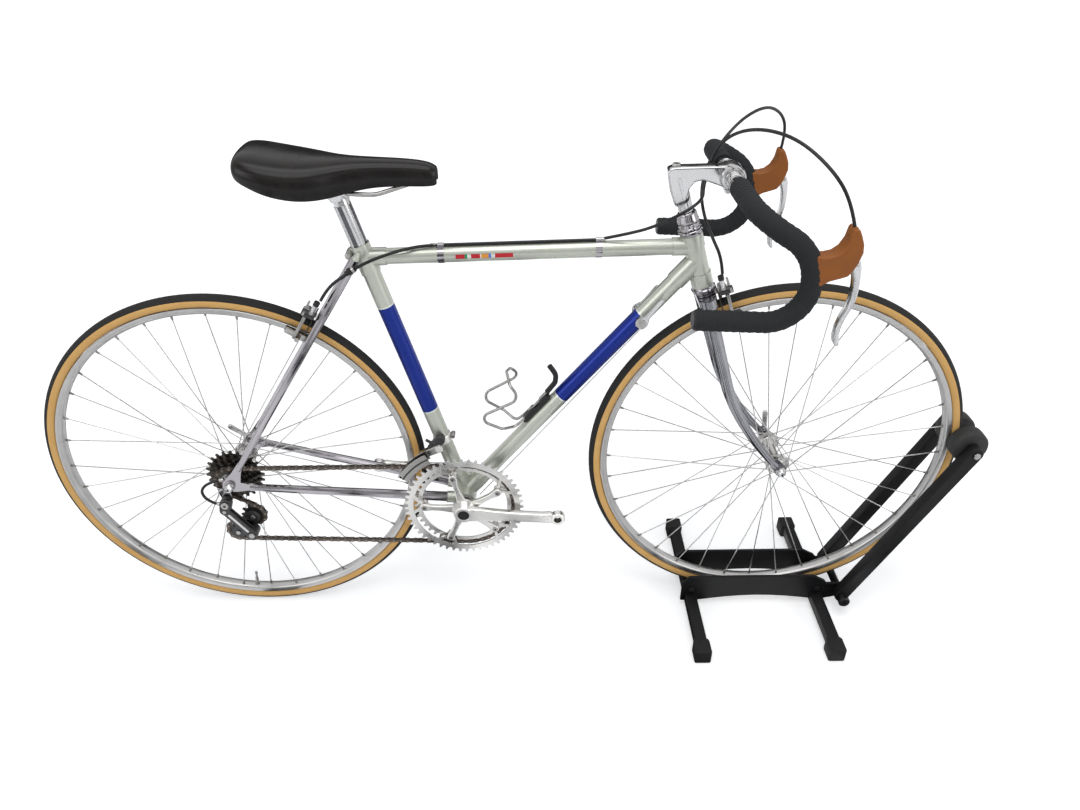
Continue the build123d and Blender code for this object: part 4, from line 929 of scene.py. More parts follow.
# %% Brake levers
lever_outline = [
    (53, 17), (59, 10), (62, 0), (63.5, -12), (64.5, -28), (64, -44), (60.5, -60), (55, -74), (51.5, -88),
    (51, -100), (52.5, -110), (54, -117), (50, -119), (45.5, -114), (44, -103), (44.5, -90), (48, -75),
    (53.5, -60), (55.8, -44), (55.5, -28), (54, -16), (50, -4), (47, 4),
]
blade = plate(
    "left_lever", outlined(lever_outline, hood_spot),
    grip_half - lever_half_width, grip_half + lever_half_width, 0.0028, 3,
)
pivot_spot = hood_spot + Vector((0.0545, 0, 0.006))
pin = across("lever_pin", pivot_spot, 0.0028, grip_half - 0.0088, grip_half + 0.0088, 16, 0.0006)
left_lever = assembled("left_lever", [("polished_alloy", blade), ("bare_steel", pin)])
levers = both_hands("brake_lever_blades", left_lever)
placed(levers, "fork_on_stand", "polished_alloy", "brake_levers")
print("levers", len(levers.data.polygons), "faces")

# %% [markdown]
# ## Saddle
# A racing saddle is a moulded shell with a thin skin of leather: wide and flat behind,
# narrow at the nose, its skirts turned down at the sides and open underneath. A grid is
# bent to thirteen cross-sections, thickened inwards and subdivided until it runs smoothly.

# %% Saddle
clamp = seat_node + seat_up * (0.022 + 0.078) + Vector((0, 0, 0.009))
saddle_length, saddle_half = 0.284, 0.074
saddle_back = clamp.x - 0.47 * saddle_length
saddle_low = clamp.z + 0.002
# Each cross-section: share of the length, share of the half width, skirt height and crown height in mm.
saddle_sections = [
    (0.000, 0.74, 37, 60), (0.012, 0.84, 30, 65.5), (0.07, 0.93, 22, 66), (0.16, 0.99, 10, 61),
    (0.28, 0.97, 2, 55.5), (0.38, 0.83, -1, 52), (0.47, 0.60, -1, 49.5), (0.56, 0.42, 4, 48),
    (0.68, 0.34, 9, 46.5), (0.80, 0.31, 9.5, 45.0), (0.90, 0.29, 8.5, 42.5), (0.965, 0.26, 8, 38.5),
    (0.998, 0.18, 9, 32),
]
crown = [(0.93, 0.0), (0.99, 0.22), (0.985, 0.48), (0.90, 0.72), (0.72, 0.885), (0.40, 0.975), (0.0, 1.0)]
row = crown + [(-x, z) for x, z in reversed(crown[:-1])]
saddle, corners = bent_grid("leather_saddle", len(saddle_sections), len(row))
for number, vertex in enumerate(corners):
    share, width, low, high = saddle_sections[number // len(row)]
    side, rise = row[number % len(row)]
    height = saddle_low + (low + (high - low) * rise) * mm
    vertex.co = (saddle_back + saddle_length * share, saddle_half * width * side, height)
with editing(saddle):
    faced_outwards()
if sum(face.normal.z * face.area for face in saddle.data.polygons) < 0:
    saddle.data.flip_normals()
print("saddle grid", len(saddle.data.polygons), "faces")

# %% Saddle skin
only(saddle)
skin = saddle.modifiers.new("skin", "SOLIDIFY")
skin.thickness = 0.0034
skin.offset = -1
bpy.ops.object.modifier_apply(modifier=skin.name)
melt = saddle.modifiers.new("melt", "SUBSURF")
melt.levels = 3
melt.render_levels = 3
bpy.ops.object.modifier_apply(modifier=melt.name)
painted(smoothed(saddle, 60), "saddle_black")
placed(saddle, "frame", "saddle_leather", "saddle")
print("saddle faces", len(saddle.data.polygons))

# %% [markdown]
# ## Painted panels
# The main tubes carry a royal blue panel with a pale edge, and the top tube a row of small
# coloured blocks. They are worked out in the paint itself: the distance along a tube is a
# dot product, and each band is one comparison with it, so nothing is pasted on.


# %% Banded paint
def banded(name, start, way, bands, height=None):
    """The frame's paint with flat bands along a tube, each a (from, to, colour) in millimetres."""
    made = finishes["frame_paint"].copy()
    made.name = name
    tree = made.node_tree
    shader = tree.nodes["Principled BSDF"]
    place = next(node for node in tree.nodes if node.type == "TEX_COORD")
    offset = new_node(tree, "VectorMath", {0: place.outputs["Object"], 1: start}, operation="SUBTRACT")

    def measured(direction):
        """Distance from the start along a direction."""
        dot = {0: offset.outputs["Vector"], 1: direction}
        return new_node(tree, "VectorMath", dot, operation="DOT_PRODUCT").outputs["Value"]

    def within(value, low, high):
        """One between two marks in millimetres, zero outside."""
        middle, reach = (low + high) / 2 * mm, (high - low) / 2 * mm
        return new_node(tree, "Math", {0: value, 1: middle, 2: reach}, operation="COMPARE").outputs[0]

    along = measured(way)
    inside = within(measured((-way.z, 0, way.x)), *height) if height else None

    def mask_of(low, high):
        """One on a band of the tube, zero elsewhere."""
        mask = within(along, low, high)
        if inside is None:
            return mask
        return new_node(tree, "Math", {0: mask, 1: inside}, operation="MULTIPLY").outputs[0]

    colour = shader.inputs["Base Color"].links[0].from_socket
    for low, high, shade in bands:
        layer = {"Factor": mask_of(low, high), "A": colour, "B": (*shade, 1)}
        colour = new_node(tree, "Mix", layer, data_type="RGBA").outputs["Result"]
    whole = mask_of(min(band[0] for band in bands), max(band[1] for band in bands))
    metal = new_node(tree, "MapRange", {
        "To Min": shader.inputs["Metallic"].default_value, "To Max": 0.6, "Value": whole,
    })
    feed(tree, shader, {"Base Color": colour, "Metallic": metal.outputs["Result"], "Coat Weight": 0.12})
    return made


pale, royal, red = (0.72, 0.74, 0.68), (0.0, 0.018, 0.23), (0.55, 0.02, 0.03)
green, orange, sky_blue = (0.02, 0.30, 0.12), (0.80, 0.32, 0.05), (0.10, 0.20, 0.62)
panels = {
    "seat_tube": banded("seat_tube_paint", bracket, seat_up, [(191, 401.5, pale), (193.5, 399, royal)]),
    "down_tube": banded("down_tube_paint", bracket, down_way, [(271, 477.5, pale), (273.5, 475, royal)]),
    "top_tube": banded("top_tube_paint", seat_node, top_way, [
        (142, 231, pale), (142, 156, red), (156, 160, green), (166, 180, red), (182, 193, orange),
        (193, 197, sky_blue), (203, 231, red),
    ], (-3.5, 3.5)),
}
for name, made in panels.items():
    nodes[name].data.materials.clear()
    nodes[name].data.materials.append(made)
print("panels", list(panels))

# %% [markdown]
# ## Chain
# A chain is two links repeated: a pair of outer plates on two pins, and a pair of inner
# plates on two rollers. Both are made once, lying along X, and copied along the route that
# the belt takes round the cog, the chainring and the two jockey wheels.


# %% Chain route
pitch = 12.7
cog_teeth, jockey_teeth, ring_teeth = 14, 10, 44
cog_y, ring_y = -0.0545, -0.040
arc_steps = 40


def pitch_radius(teeth):
    """Radius of the circle that the chain's pins follow round a wheel, in metres."""
    return pitch * mm / (2 * sin(pi / teeth))


guide = rear_axle + Vector((0.025, 0, -0.074))
tension = rear_axle + Vector((-0.008, 0, -0.110))
chain_wheels = [
    (rear_axle, pitch_radius(cog_teeth)), (guide, -pitch_radius(jockey_teeth)),
    (tension, pitch_radius(jockey_teeth)), (bracket, pitch_radius(ring_teeth)),
]


def belt(first, first_radius, second, second_radius):
    """Where a belt leaves one wheel and meets the next; a negative radius turns it the other way."""
    gap = second - first
    heading = atan2(gap.z, gap.x) + asin((first_radius - second_radius) / gap.length)
    right = Vector((sin(heading), 0, -cos(heading)))
    return first + right * first_radius, second + right * second_radius


meets = [belt(*chain_wheels[n], *chain_wheels[(n + 1) % 4]) for n in range(4)]
route = []
for number, (centre, radius) in enumerate(chain_wheels):
    arrive, leave = meets[number - 1][1], meets[number][0]
    first = atan2(arrive.z - centre.z, arrive.x - centre.x)
    last = atan2(leave.z - centre.z, leave.x - centre.x)
    turn = (last - first) % (2 * pi) if radius > 0 else -((first - last) % (2 * pi))
    y = ring_y if centre is bracket else cog_y
    for step in range(arc_steps + 1):
        angle = first + turn * step / arc_steps
        route.append(centre + Vector((abs(radius) * cos(angle), y, abs(radius) * sin(angle))))
route.append(route[0])
lengths = [(b - a).length for a, b in zip(route, route[1:])]
links = 2 * round(sum(lengths) / (2 * pitch * mm))


def along_chain(distance):
    """The point at a distance along the chain's route."""
    for start, end, length in zip(route, route[1:], lengths):
        if distance <= length:
            return start.lerp(end, distance / length if length else 0)
        distance -= length
    return route[-1]


pins = [along_chain(sum(lengths) * n / links) for n in range(links)]
print("links", links, "pitch", round(sum(lengths) / links / mm, 2))


# %% Chain links
def link(name, plate_low, plate_high, pin_radius, pin_half):
    """One link along X: a pair of waisted plates and its two pins or rollers, in millimetres."""
    half, end_radius, waist = pitch / 2, 4.0, 2.9
    turns = [radians(degrees) for degrees in (-70, -25, 25, 70)]
    corners = [(half + end_radius * cos(turn), end_radius * sin(turn)) for turn in turns]
    corners += [(0, waist)] + [(-x, z) for x, z in reversed(corners)] + [(0, -waist)]
    rows = []
    for low, high in both_sides(plate_low, plate_high):
        rows.append(("chain_dark", plate(name, outlined(corners), low * mm, high * mm)))
    for x in (-half, half):
        pin = across(name, Vector((x * mm, 0, 0)), pin_radius * mm, -pin_half * mm, pin_half * mm, 8)
        rows.append(("chain_worn", pin))
    return assembled(name, rows)


outer_link = link("outer_link", 2.2, 3.0, 1.7, 3.3)
inner_link = link("inner_link", 1.3, 2.1, 3.7, 1.3)
laid = []
for number, (here, after) in enumerate(zip(pins, pins[1:] + pins[:1])):
    way = (after - here).normalized()
    left_way = (left - way * left.dot(way)).normalized()
    spin = Matrix((way, left_way, way.cross(left_way))).transposed().to_4x4()
    source = outer_link if number % 2 else inner_link
    laid.append(moved_copy(source, Matrix.Translation((here + after) / 2) @ spin))
for source in (outer_link, inner_link):
    bpy.data.objects.remove(source)
chain = joined("roller_chain", laid)
placed(chain, "frame", "chain_steel", "chain")
print("chain faces", len(chain.data.polygons))

# %% [markdown]
# ## Cranks
# Alloy cranks are forged and polished, so every edge is soft. The arm is an outline with
# widely rounded edges, the eye for the pedal is spun, and five spider arms carry the
# chainrings on bolts. The middle bolt hides under a black dust cap.


# %% Crank helpers
def laid_out(centre, degrees, outline):
    """Outline corners in (along, across) millimetres, laid from a centre at an angle."""
    turn = radians(degrees)
    way, normal = Vector((cos(turn), 0, sin(turn))), Vector((-sin(turn), 0, cos(turn)))
    return side_view(centre + (way * u + normal * v) * mm for u, v in outline)


def mirrored_outline(half):
    """A closed outline from its upper half."""
    return half + [(u, -v) for u, v in reversed(half) if v]


crank_length = 0.170
arm_half = [
    (-8, 10), (10, 14.5), (34, 13.2), (60, 11.0), (100, 9.6), (140, 9.4), (152, 10.6), (160, 11.6),
]
eye_section = [(-58, 7.1), (-58, 12), (-59.2, 13), (-69.8, 13), (-71, 12), (-71, 7.1)]
thread_section = [(-58.4, 7.1), (-70.6, 7.1), (-70.6, 6.2), (-58.4, 6.2)]


def crank_rows(side, degrees, boss_section):
    """A crank arm with its boss, dust cap and pedal eye; side is 1 on the left."""
    low, high = side_span(side, 0.058, 0.071)
    outline = laid_out(bracket, degrees, mirrored_outline(arm_half))
    eye_spot = polar(bracket, degrees, crank_length)
    cap_low, cap_high = side_span(side, 0.0705, 0.0718)
    return [
        ("crank_alloy", plate("crank_arm", outline, low, high, 0.0036, 4)),
        ("crank_alloy", spun("pedal_eye", eye_spot, facing(-side, eye_section), 40)),
        ("crank_alloy", spun("crank_boss", bracket, facing(-side, boss_section), 56)),
        ("black_plastic", across("dust_cap", bracket, 0.0102, cap_low, cap_high, 32, 0.0006)),
        ("dark_steel", spun("pedal_thread", eye_spot, facing(-side, thread_section), 32)),
    ]


print("crank helpers ready")

# %% Cranks
droop = -4.4
ring_bolt_circle = 0.072
boss_face = [(-57, 21), (-60, 19), (-69, 17.6), (-71.4, 15.5), (-71.4, 11), (-70.6, 10.2), (-70.6, 8.7)]
right_boss = [(-48.2, 8.7), (-48.2, 20), (-50, 21.5)] + boss_face
left_boss = [(-50.2, 8.7), (-50.2, 17.0), (-57, 18)] + boss_face[1:]
spider_half = [(8, 11.5), (22, 7.6), (40, 5.2), (56, 4.8), (64, 6.2), (69, 7.4), (76, 6.6), (79.5, 3.2)]
right_rows = crank_rows(-1, droop, right_boss)
for bolt in range(5):
    turn = 72 * bolt + 36 + droop
    arm = laid_out(bracket, turn, mirrored_outline(spider_half))
    spot = polar(bracket, turn, ring_bolt_circle)
    right_rows += [
        ("crank_alloy", plate("spider_arm", arm, -0.0558, -0.0482, 0.0018, 3)),
        ("bare_steel", across("ring_bolt", spot, 0.0052, -0.0570, -0.0555, 20, 0.0005)),
        # A flat dark hexagon on each bolt head stands for its key socket: painted shade in place of the
        # recess.
        ("dark_steel", across("bolt_socket_shade", spot, 0.0024, -0.0572, -0.0560, 6)),
    ]
right_crank = assembled("forged_right_crank", right_rows)
placed(right_crank, "cranks", "crank_alloy", "right_crank")
left_rows = crank_rows(1, 180 + droop, left_boss)
placed(assembled("forged_left_crank", left_rows), "cranks", "crank_alloy", "left_crank")
print("crank faces", len(right_crank.data.polygons))

# %% [markdown]
# ## Derailleurs
# The rear one hangs from the dropout: a body on a bolt, a parallelogram of two links and a
# sprung cage with two jockey wheels. Its plates are cut outlines with eased edges, and the
# dark body against bright bolts is what makes it read as a machine.


# %% Outlines of plates and sprockets
def hull_of(first, first_radius, second, second_radius, steps=9):
    """A side outline round two circles, in (x, z) metres."""
    gap = second - first
    heading = atan2(gap.z, gap.x)
    lean = asin((first_radius - second_radius) / gap.length)
    spots = []
    for centre, radius, start, end in (
        (second, second_radius, heading - pi / 2 + lean, heading + pi / 2 - lean),
        (first, first_radius, heading + pi / 2 - lean, heading + 3 * pi / 2 + lean),
    ):
        for step in range(steps):
            turn = start + (end - start) * step / (steps - 1)
            spots.append((centre.x + radius * cos(turn), centre.z + radius * sin(turn)))
    return spots


def toothed(centre, teeth):
    """A sprocket's side outline in (x, z) metres, with four corners to a tooth."""
    tip, root = 2.4, 3.4
    spots = []
    for tooth in range(teeth):
        for share, lift in ((-0.30, -root), (-0.12, tip), (0.12, tip), (0.30, -root)):
            turn = 2 * pi * (tooth + share) / teeth
            reach = pitch_radius(teeth) + lift * mm
            spots.append((centre.x + reach * cos(turn), centre.z + reach * sin(turn)))
    return spots


print("jockey outline", len(toothed(guide, jockey_teeth)), "corners")

# %% Derailleur cage
hanger = rear_axle + Vector((-0.010, 0, -0.030))
knuckle = guide + Vector((-0.001, 0, -0.026))
link_top = hanger + Vector((-0.004, 0, -0.015))
tab = [(-14, 26), (8, 20), (9, 1), (6.5, -6.5), (0, -9), (-6.5, -6.5), (-9, 1), (-12, 14)]
mech = [("chrome", plate("hanger_tab", outlined(tab, hanger), -0.0680, -0.0630, 0.0010))]
for low, high, reach in ((-0.0625, -0.0605, 0.0125), (-0.0485, -0.0465, 0.0115)):
    cage = hull_of(guide, reach, tension, reach)
    mech.append(("mech_black", plate("cage_plate", cage, low, high, 0.0005)))
lobe = hull_of(guide.lerp(tension, 0.4), 0.008, knuckle, 0.009)
mech.append(("mech_black", plate("cage_lobe", lobe, -0.0625, -0.0606, 0.0004)))
for centre in (guide, tension):
    teeth = toothed(centre, jockey_teeth)
    mech += [
        ("mech_black", plate("jockey", teeth, cog_y - 0.0012, cog_y + 0.0012, 0.0003)),
        ("mech_black", across("jockey_face", centre, 0.0105, cog_y - 0.0032, cog_y + 0.0032, 24, 0.0006)),
        ("bare_steel", across("jockey_bolt", centre, 0.0042, -0.0652, -0.0462, 16, 0.0006)),
    ]
print("cage parts", len(mech))

# %% Derailleur body and links
body_outline = hull_of(hanger, 0.0105, link_top, 0.0092)
mech += [
    ("mech_black", plate("upper_body", body_outline, -0.0835, -0.0700, 0.0022, 3)),
    ("bare_steel", across("hanger_bolt", hanger, 0.0068, -0.0868, -0.0680, 24, 0.0010)),
    # A flat dark hexagon on the bolt head stands for its key socket: painted shade in place of the recess.
    ("dark_steel", across("hanger_socket_shade", hanger, 0.0028, -0.0872, -0.0850, 6)),
]
for low, high, reach in ((-0.0825, -0.0785, 0.0078), (-0.0740, -0.0705, 0.0070)):
    side_link = hull_of(link_top, reach, knuckle, reach)
    mech.append(("mech_black", plate("mech_link", side_link, low, high, 0.0010)))
strip = hull_of(link_top.lerp(knuckle, 0.16), 0.0024, link_top.lerp(knuckle, 0.84), 0.0024)
barrel_start = hanger + Vector((-0.008, -0.077, -0.0008))
mech += [
    ("polished_alloy", plate("bright_strip", strip, -0.0831, -0.0822, 0.0002)),
    ("mech_black", across("knuckle", knuckle, 0.0098, -0.0835, -0.0612, 28, 0.0016)),
    ("bare_steel", across("knuckle_bolt", knuckle, 0.0052, -0.0862, -0.0830, 20, 0.0008)),
    ("bare_steel", across("link_pin", link_top, 0.0034, -0.0850, -0.0700, 16, 0.0005)),
    ("bare_steel", rod("barrel", barrel_start, barrel_end, 0.0038, 0.0034, 20)),
]
placed(assembled("hanging_derailleur", mech), "frame", "mech_alloy", "rear_derailleur")
print("derailleur parts", len(mech))

# %% Freewheel face
face_section = [(-55.6, 14.2), (-55.6, 19.5), (-57.2, 19.0), (-57.4, 14.2)]
lock_face = painted(spun("freewheel_face", rear_axle, face_section, 48), "mech_alloy")
placed(lock_face, "freewheel", "cog_steel")
print("freewheel face", len(lock_face.data.polygons), "faces")

# %% [markdown]
# ## Brakes
# Side-pull brakes have two arms on one bolt. Each starts above the bolt, crosses it, and
# comes down outside the tyre to a rubber block in a metal shoe. The arms are drawn in the
# plane of the brake, eased, and then moved to the fork and to the bridge.

# %% Caliper outlines
rim_reach = 0.310
arm_drop = 48
outer_arm = [
    (33.5, -14), (35, -26), (33.5, -39), (31.5, -48), (23.5, -48), (25, -38), (26.5, -26), (25, -17),
    (18, -9), (8, -6.5),
]
arm_shapes = {
    1: [(-36, 12), (-33, 21), (-20, 20), (-8, 14), (6, 11), (18, 5), (27, -3)] + outer_arm + [
        (-6, -5), (-16, 2), (-26, 9),
    ],
    -1: [(30, 4)] + outer_arm + [(-6, -6.5), (-8, 6), (0, 11), (12, 11), (22, 10)],
}
block_outline = [(14.2, -5), (14.2, 5), (19, 5), (21, 3.5), (21, -3.5), (19, -5)]
shoe_outline = [(20.4, -5.6), (20.4, 5.6), (23, 5.6), (23, -5.6)]
cam_outline = [(-42, 12), (-42, 17), (-30, 20), (-14, 27), (-12, 24), (-26, 14)]
# Low and high end in metres, radius and finish of the cable adjuster's steps.
adjuster_steps = (
    (0.012, 0.020, 0.0052, "bare_steel"), (0.020, 0.034, 0.0040, "polished_alloy"),
    (0.034, 0.041, 0.0048, "black_plastic"),
)
print("arm corners", len(arm_shapes[1]), len(arm_shapes[-1]))


# %% Caliper
def arm_and_spring(side, low, stretch):
    """One brake arm and its spring; arms are stretched below the bolt until their pads reach the rim."""
    outline = [(side * x, z if z > 0 else z * stretch) for x, z in arm_shapes[side]]
    coil = [(0, 5), (side * 9, 8), (side * 19, 2), (side * 28, -16), (side * 30, -30 * stretch)]
    coil = rounded_route([Vector((x, -1.2, z)) * mm for x, z in coil], (0.004, 0.006, 0.010), 0.002)
    return [
        ("mech_alloy", plate("brake_arm", outlined(outline), low, low + 0.0055, 0.0014, 2)),
        ("dark_steel", wire("return_spring", coil, 0.0011, 2)),
    ]


def block_and_shoe(side, pad_drop):
    """The rubber block, its metal shoe and the nut that holds it, at the rim."""
    block = [(side * x * mm, z * mm - pad_drop) for x, z in block_outline]
    shoe = [(side * x * mm, z * mm - pad_drop) for x, z in shoe_outline]
    nut_near = Vector((side * 0.0225, 0.006, -pad_drop))
    nut_far = Vector((side * 0.0360, 0.006, -pad_drop))
    return [
        ("pad_rubber", plate("brake_block", block, -0.018, 0.030, 0.0008)),
        ("bare_steel", plate("brake_shoe", shoe, -0.017, 0.029, 0.0006)),
        ("bare_steel", rod("shoe_nut", nut_near, nut_far, 0.0044, sides=6)),
    ]


def caliper(name, pivot, axle, up, fore, body, node):
    """A side-pull brake, made in the plane of its bolt and moved to its place."""
    pad_drop = (pivot - axle).length - rim_reach
    stretch = (pad_drop * 1000 + 4) / arm_drop
    bolt_spot, cam_spot = Vector(), Vector((-0.033, 0, 0.014))
    rows = arm_and_spring(1, 0.0032, stretch) + arm_and_spring(-1, 0.0092, stretch)
    rows += [
        ("bare_steel", across("brake_bolt", bolt_spot, 0.0040, -0.0040, 0.0205, 20)),
        ("bare_steel", across("brake_nut", bolt_spot, 0.0068, 0.0150, 0.0195, 6, 0.0006)),
    ]
    rows += block_and_shoe(1, pad_drop) + block_and_shoe(-1, pad_drop)
    for low, high, radius, finish in adjuster_steps:
        foot, top = Vector((cam_spot.x, 0.006, low)), Vector((cam_spot.x, 0.006, high))
        rows.append((finish, rod("adjuster", foot, top, radius)))
    rows += [
        ("bare_steel", plate("release_cam", outlined(cam_outline), 0.0150, 0.0185, 0.0008)),
        ("mech_black", across("cam_hub", cam_spot, 0.0062, 0.0, 0.0205, 20, 0.0008)),
    ]
    brake = assembled(name, rows)
    spot = Matrix.Translation(pivot) @ Matrix((left, fore, up)).transposed().to_4x4()
    brake.data.transform(spot)
    if spot.determinant() < 0:
        brake.data.flip_normals()
    return placed(brake, body, "polished_alloy", node)


print("caliper helpers ready")

# %% Both brakes
bridge_stand_off = 0.0125
seatstay_low = rear_axle + Vector((0.020, 0, 0.034))
seatstay_high = seat_node + Vector((-0.011, 0, 0.004))
stay_way = (seatstay_high - seatstay_low).normalized()
stay_back = Vector((-stay_way.z, 0, stay_way.x))
low_box, high_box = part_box("brake_bridge")
bridge = (low_box + high_box) / 2
rear_pivot = bridge + stay_back * bridge_stand_off
caliper(
    "front_side_pull", front_pivot, front_axle, steer_up, steer_forward, "fork_on_stand", "front_brake",
)
caliper("rear_side_pull", rear_pivot, rear_axle, stay_way, stay_back, "frame", "rear_brake")
print("rear brake at", [round(v, 3) for v in bridge])

# %% [markdown]
# ## Fork blades
# A blade is a tube squeezed to an oval at the crown, drawn down to a round tip and bent
# forwards over its lower half. A grid is wrapped round that centre line and its seam closed.

# %% Fork blades
blade_top = crown_race - steer_up * 0.015
blade_drop, blade_sweep, bend_start = 343, 56, 0.42
blade_steps, blade_sides = 28, 28
tip_share = 0.965
# Each row: share of the way down, and how full the section is; the ends are closed.
blade_rows = [(0.0, 0.0)] + [(tip_share * step / blade_steps, 1.0) for step in range(blade_steps + 1)]
blade_rows += [(0.969, 0.88), (0.972, 0.6), (0.973, 0.0)]


def blade_point(share):
    """Centre of the left blade, from the crown (0) to the axle (1)."""
    bent = max(0.0, share - bend_start) / (1 - bend_start)
    ahead = steer_forward * (blade_sweep * bent**1.8 - 2 * (1 - share))
    outward = left * (30.5 + 23.5 * share)
    return blade_top + (ahead - steer_up * blade_drop * share + outward) * mm


blade_tube, corners = bent_grid("left_fork_blade", len(blade_rows), blade_sides + 1)
for number, vertex in enumerate(corners):
    share, full = blade_rows[number // (blade_sides + 1)]
    turn = 2 * pi * (number % (blade_sides + 1)) / blade_sides
    way = (blade_point(share) - blade_point(share + 0.02)).normalized() if share else steer_up
    ahead = (steer_forward - way * steer_forward.dot(way)).normalized()
    reach = ahead * cos(turn) * (13 - 7 * share) + way.cross(ahead) * sin(turn) * (8.5 - 2.5 * share)
    vertex.co = blade_point(share) + reach * full * mm
with editing(blade_tube):
    faced_outwards(weld_gap)
# The blades take the chrome with a darker colour painted in for their dark reflections.
fork_pair = both_hands("curved_fork_blades", painted(smoothed(blade_tube, 50), "fork_chrome_painted_reflection"))
placed(fork_pair, "fork_on_stand", "chrome", "fork_blades")
print("fork blades", len(fork_pair.data.polygons), "faces")

# %% [markdown]
# ## Headset
# The steering turns on two cups pressed into the head tube. A race on the crown and a race
# under the locknut turn with the fork. Each ring is lathe work, so it is spun from its section.


# %% Headset
def on_steerer(name, low, section):
    """A ring spun about the steering axis from a closed (height, radius) section in millimetres."""
    corners = [low + (steer_up * height + steer_forward * radius) * mm for height, radius in section]
    return "chrome", spun_ring(name, corners, low, steer_up, 64)


cups = [
    on_steerer("lower_cup", crown_race, [
        (4.6, 13.3), (4.6, 18.6), (5.4, 19.5), (7.4, 19.5), (8.4, 18.4), (9.4, 17.4), (11.9, 16.9),
        (11.9, 13.3),
    ]),
    on_steerer("upper_cup", head_high, [
        (0.1, 13.3), (0.1, 16.8), (2.2, 16.9), (4.0, 17.6), (5.2, 19.0), (8.0, 19.0), (8.9, 18.2),
        (8.9, 13.3),
    ]),
]
placed(assembled("headset_cup_pair", cups), "frame", "chrome", "headset_cups")
races = [
    on_steerer("crown_race_ring", crown_race, [
        (0.0, 12.75), (0.0, 17.4), (0.8, 18.0), (3.2, 18.0), (4.1, 17.0), (4.1, 12.75),
    ]),
    on_steerer("upper_race", head_high, [
        (9.4, 12.75), (9.4, 16.8), (10.2, 17.5), (12.6, 17.5), (13.6, 16.2), (18.6, 16.0), (19.2, 15.4),
        (19.2, 12.75),
    ]),
    on_steerer("lock_washer", head_high, [(19.2, 12.75), (19.2, 14.2), (20.2, 14.2), (20.2, 12.75)]),
    on_steerer("locknut", head_high, [
        (20.2, 12.75), (20.2, 15.4), (21.2, 16.6), (24.6, 16.8), (26.4, 15.9), (33.0, 15.6), (35.8, 14.6),
        (37.0, 13.2), (37.0, 12.75),
    ]),
]
placed(assembled("headset_races_and_nut", races), "fork_on_stand", "chrome", "headset_nuts")
print("headset rings", len(cups) + len(races))

# %% [markdown]
# ## Stem and bars
# The stem is one alloy forging shaped like a seven: a quill that slides into the steerer
# and an arm that ends in a split clamp. The bar swells to a polished sleeve where the stem
# holds it. Both are eased all round, so that their edges carry long highlights.

# %% Stem
stem_half = 0.0108
stem_outline = [
    (-17, 8), (-15, 12.5), (-8, 15), (20, 15.5), (62, 16.5), (79, 18), (79, -18), (66, -14.5), (54, -10),
    (36, -4), (25, -6.5), (17.5, -16), (15, -30), (11.5, -44), (-2, -44), (-11, -20),
]
clamp_section = halves([(0, 19.4), (12, 19.4), (17, 18.6), (19.6, 17.4), (20, 16.4), (20, 12.8)])
sleeve_section = halves([(0, 14.2), (20, 14.2), (38, 14.0), (43, 13.1), (44, 12.75), (44, 12.0)])
stem_arm = plate("stem_arm", outlined(stem_outline, stem_centre), -stem_half, stem_half, 0.0058, 4)
stem_rows = [
    ("polished_alloy", stem_arm),
    ("polished_alloy", rod("quill", locknut_top - steer_up * 0.0039, stem_centre, 0.0111, sides=32)),
    ("polished_alloy", spun("bar_clamp", bar_centre, clamp_section, 48)),
    ("polished_alloy", spun("bar_sleeve", bar_centre, sleeve_section, 48)),
]
for groove in (26, -26, 32, -32, 38, -38):
    ring = [(groove - 0.5, 13.9), (groove, 14.4), (groove + 0.5, 13.9), (groove, 13.5)]
    stem_rows.append(("polished_alloy", spun("sleeve_ring", bar_centre, ring, 40)))
print("stem parts", len(stem_rows))

# %% Stem bolts
bolt_top = stem_centre + Vector((-0.004, 0, 0.0145))
ear = bar_centre + Vector((-0.004, 0, -0.0205))
expander = rod("expander_bolt", bolt_top, bolt_top + up * 0.0045, 0.0062, sides=24)
stem_rows += [
    ("bare_steel", eased(expander, 0.0008)),
    # A flat dark hexagon on the bolt top stands for its key socket: painted shade in place of the recess.
    ("dark_steel", rod("bolt_well_shade", bolt_top + up * 0.0040, bolt_top + up * 0.0048, 0.0030, sides=6)),
    ("polished_alloy", across("clamp_ear", ear, 0.0048, -0.009, 0.009, 20, 0.0008)),
    ("bare_steel", across("clamp_bolt", ear, 0.0032, -0.0115, 0.0115, 6, 0.0004)),
]
placed(assembled("seven_stem", stem_rows), "fork_on_stand", "polished_alloy", "stem")
print("stem parts with bolts", len(stem_rows))

# %% [markdown]
# ## Seat post and rails
# The post is fluted: four shallow channels run down it and are coloured darker than the rest,
# so it reads as light and dark stripes. Its head is a yoke with two cradles that pinch the rails.

# %% Fluted post
post_low, post_high = seat_node - seat_up * 0.020, seat_node + seat_up * 0.100
ring_count = 64
post_radius, flute_depth = 0.0136, 0.0013
flute_share = 0.9


def flute_wave(turn):
    """Above zero inside the four flutes, with its peak along their middles."""
    return cos(4 * turn + pi / 4)


corners = []
for step in range(ring_count):
    turn = 2 * pi * step / ring_count
    depth = flute_depth * max(0.0, flute_wave(turn)) ** 0.5
    corners.append(post_low + (seat_fore * cos(turn) + left * sin(turn)) * (post_radius - depth))
flute_run = (post_high - post_low) * flute_share
post = corner_ring("fluted_post", corners, "NGON")
with editing(post):
    bpy.ops.mesh.extrude_region_move(TRANSFORM_OT_translate={"value": flute_run})
    faced_outwards()
painted(smoothed(post, 40), "polished_alloy", "post_flute")


def in_flute(spot):
    """Whether a face of the post lies in a flute."""
    out = spot - post_low
    out -= seat_up * out.dot(seat_up)
    return out.length > 0.009 and flute_wave(atan2(out.y, out.dot(seat_fore))) > 0.35


repaint(post, 1, in_flute)
print("post faces", len(post.data.polygons))

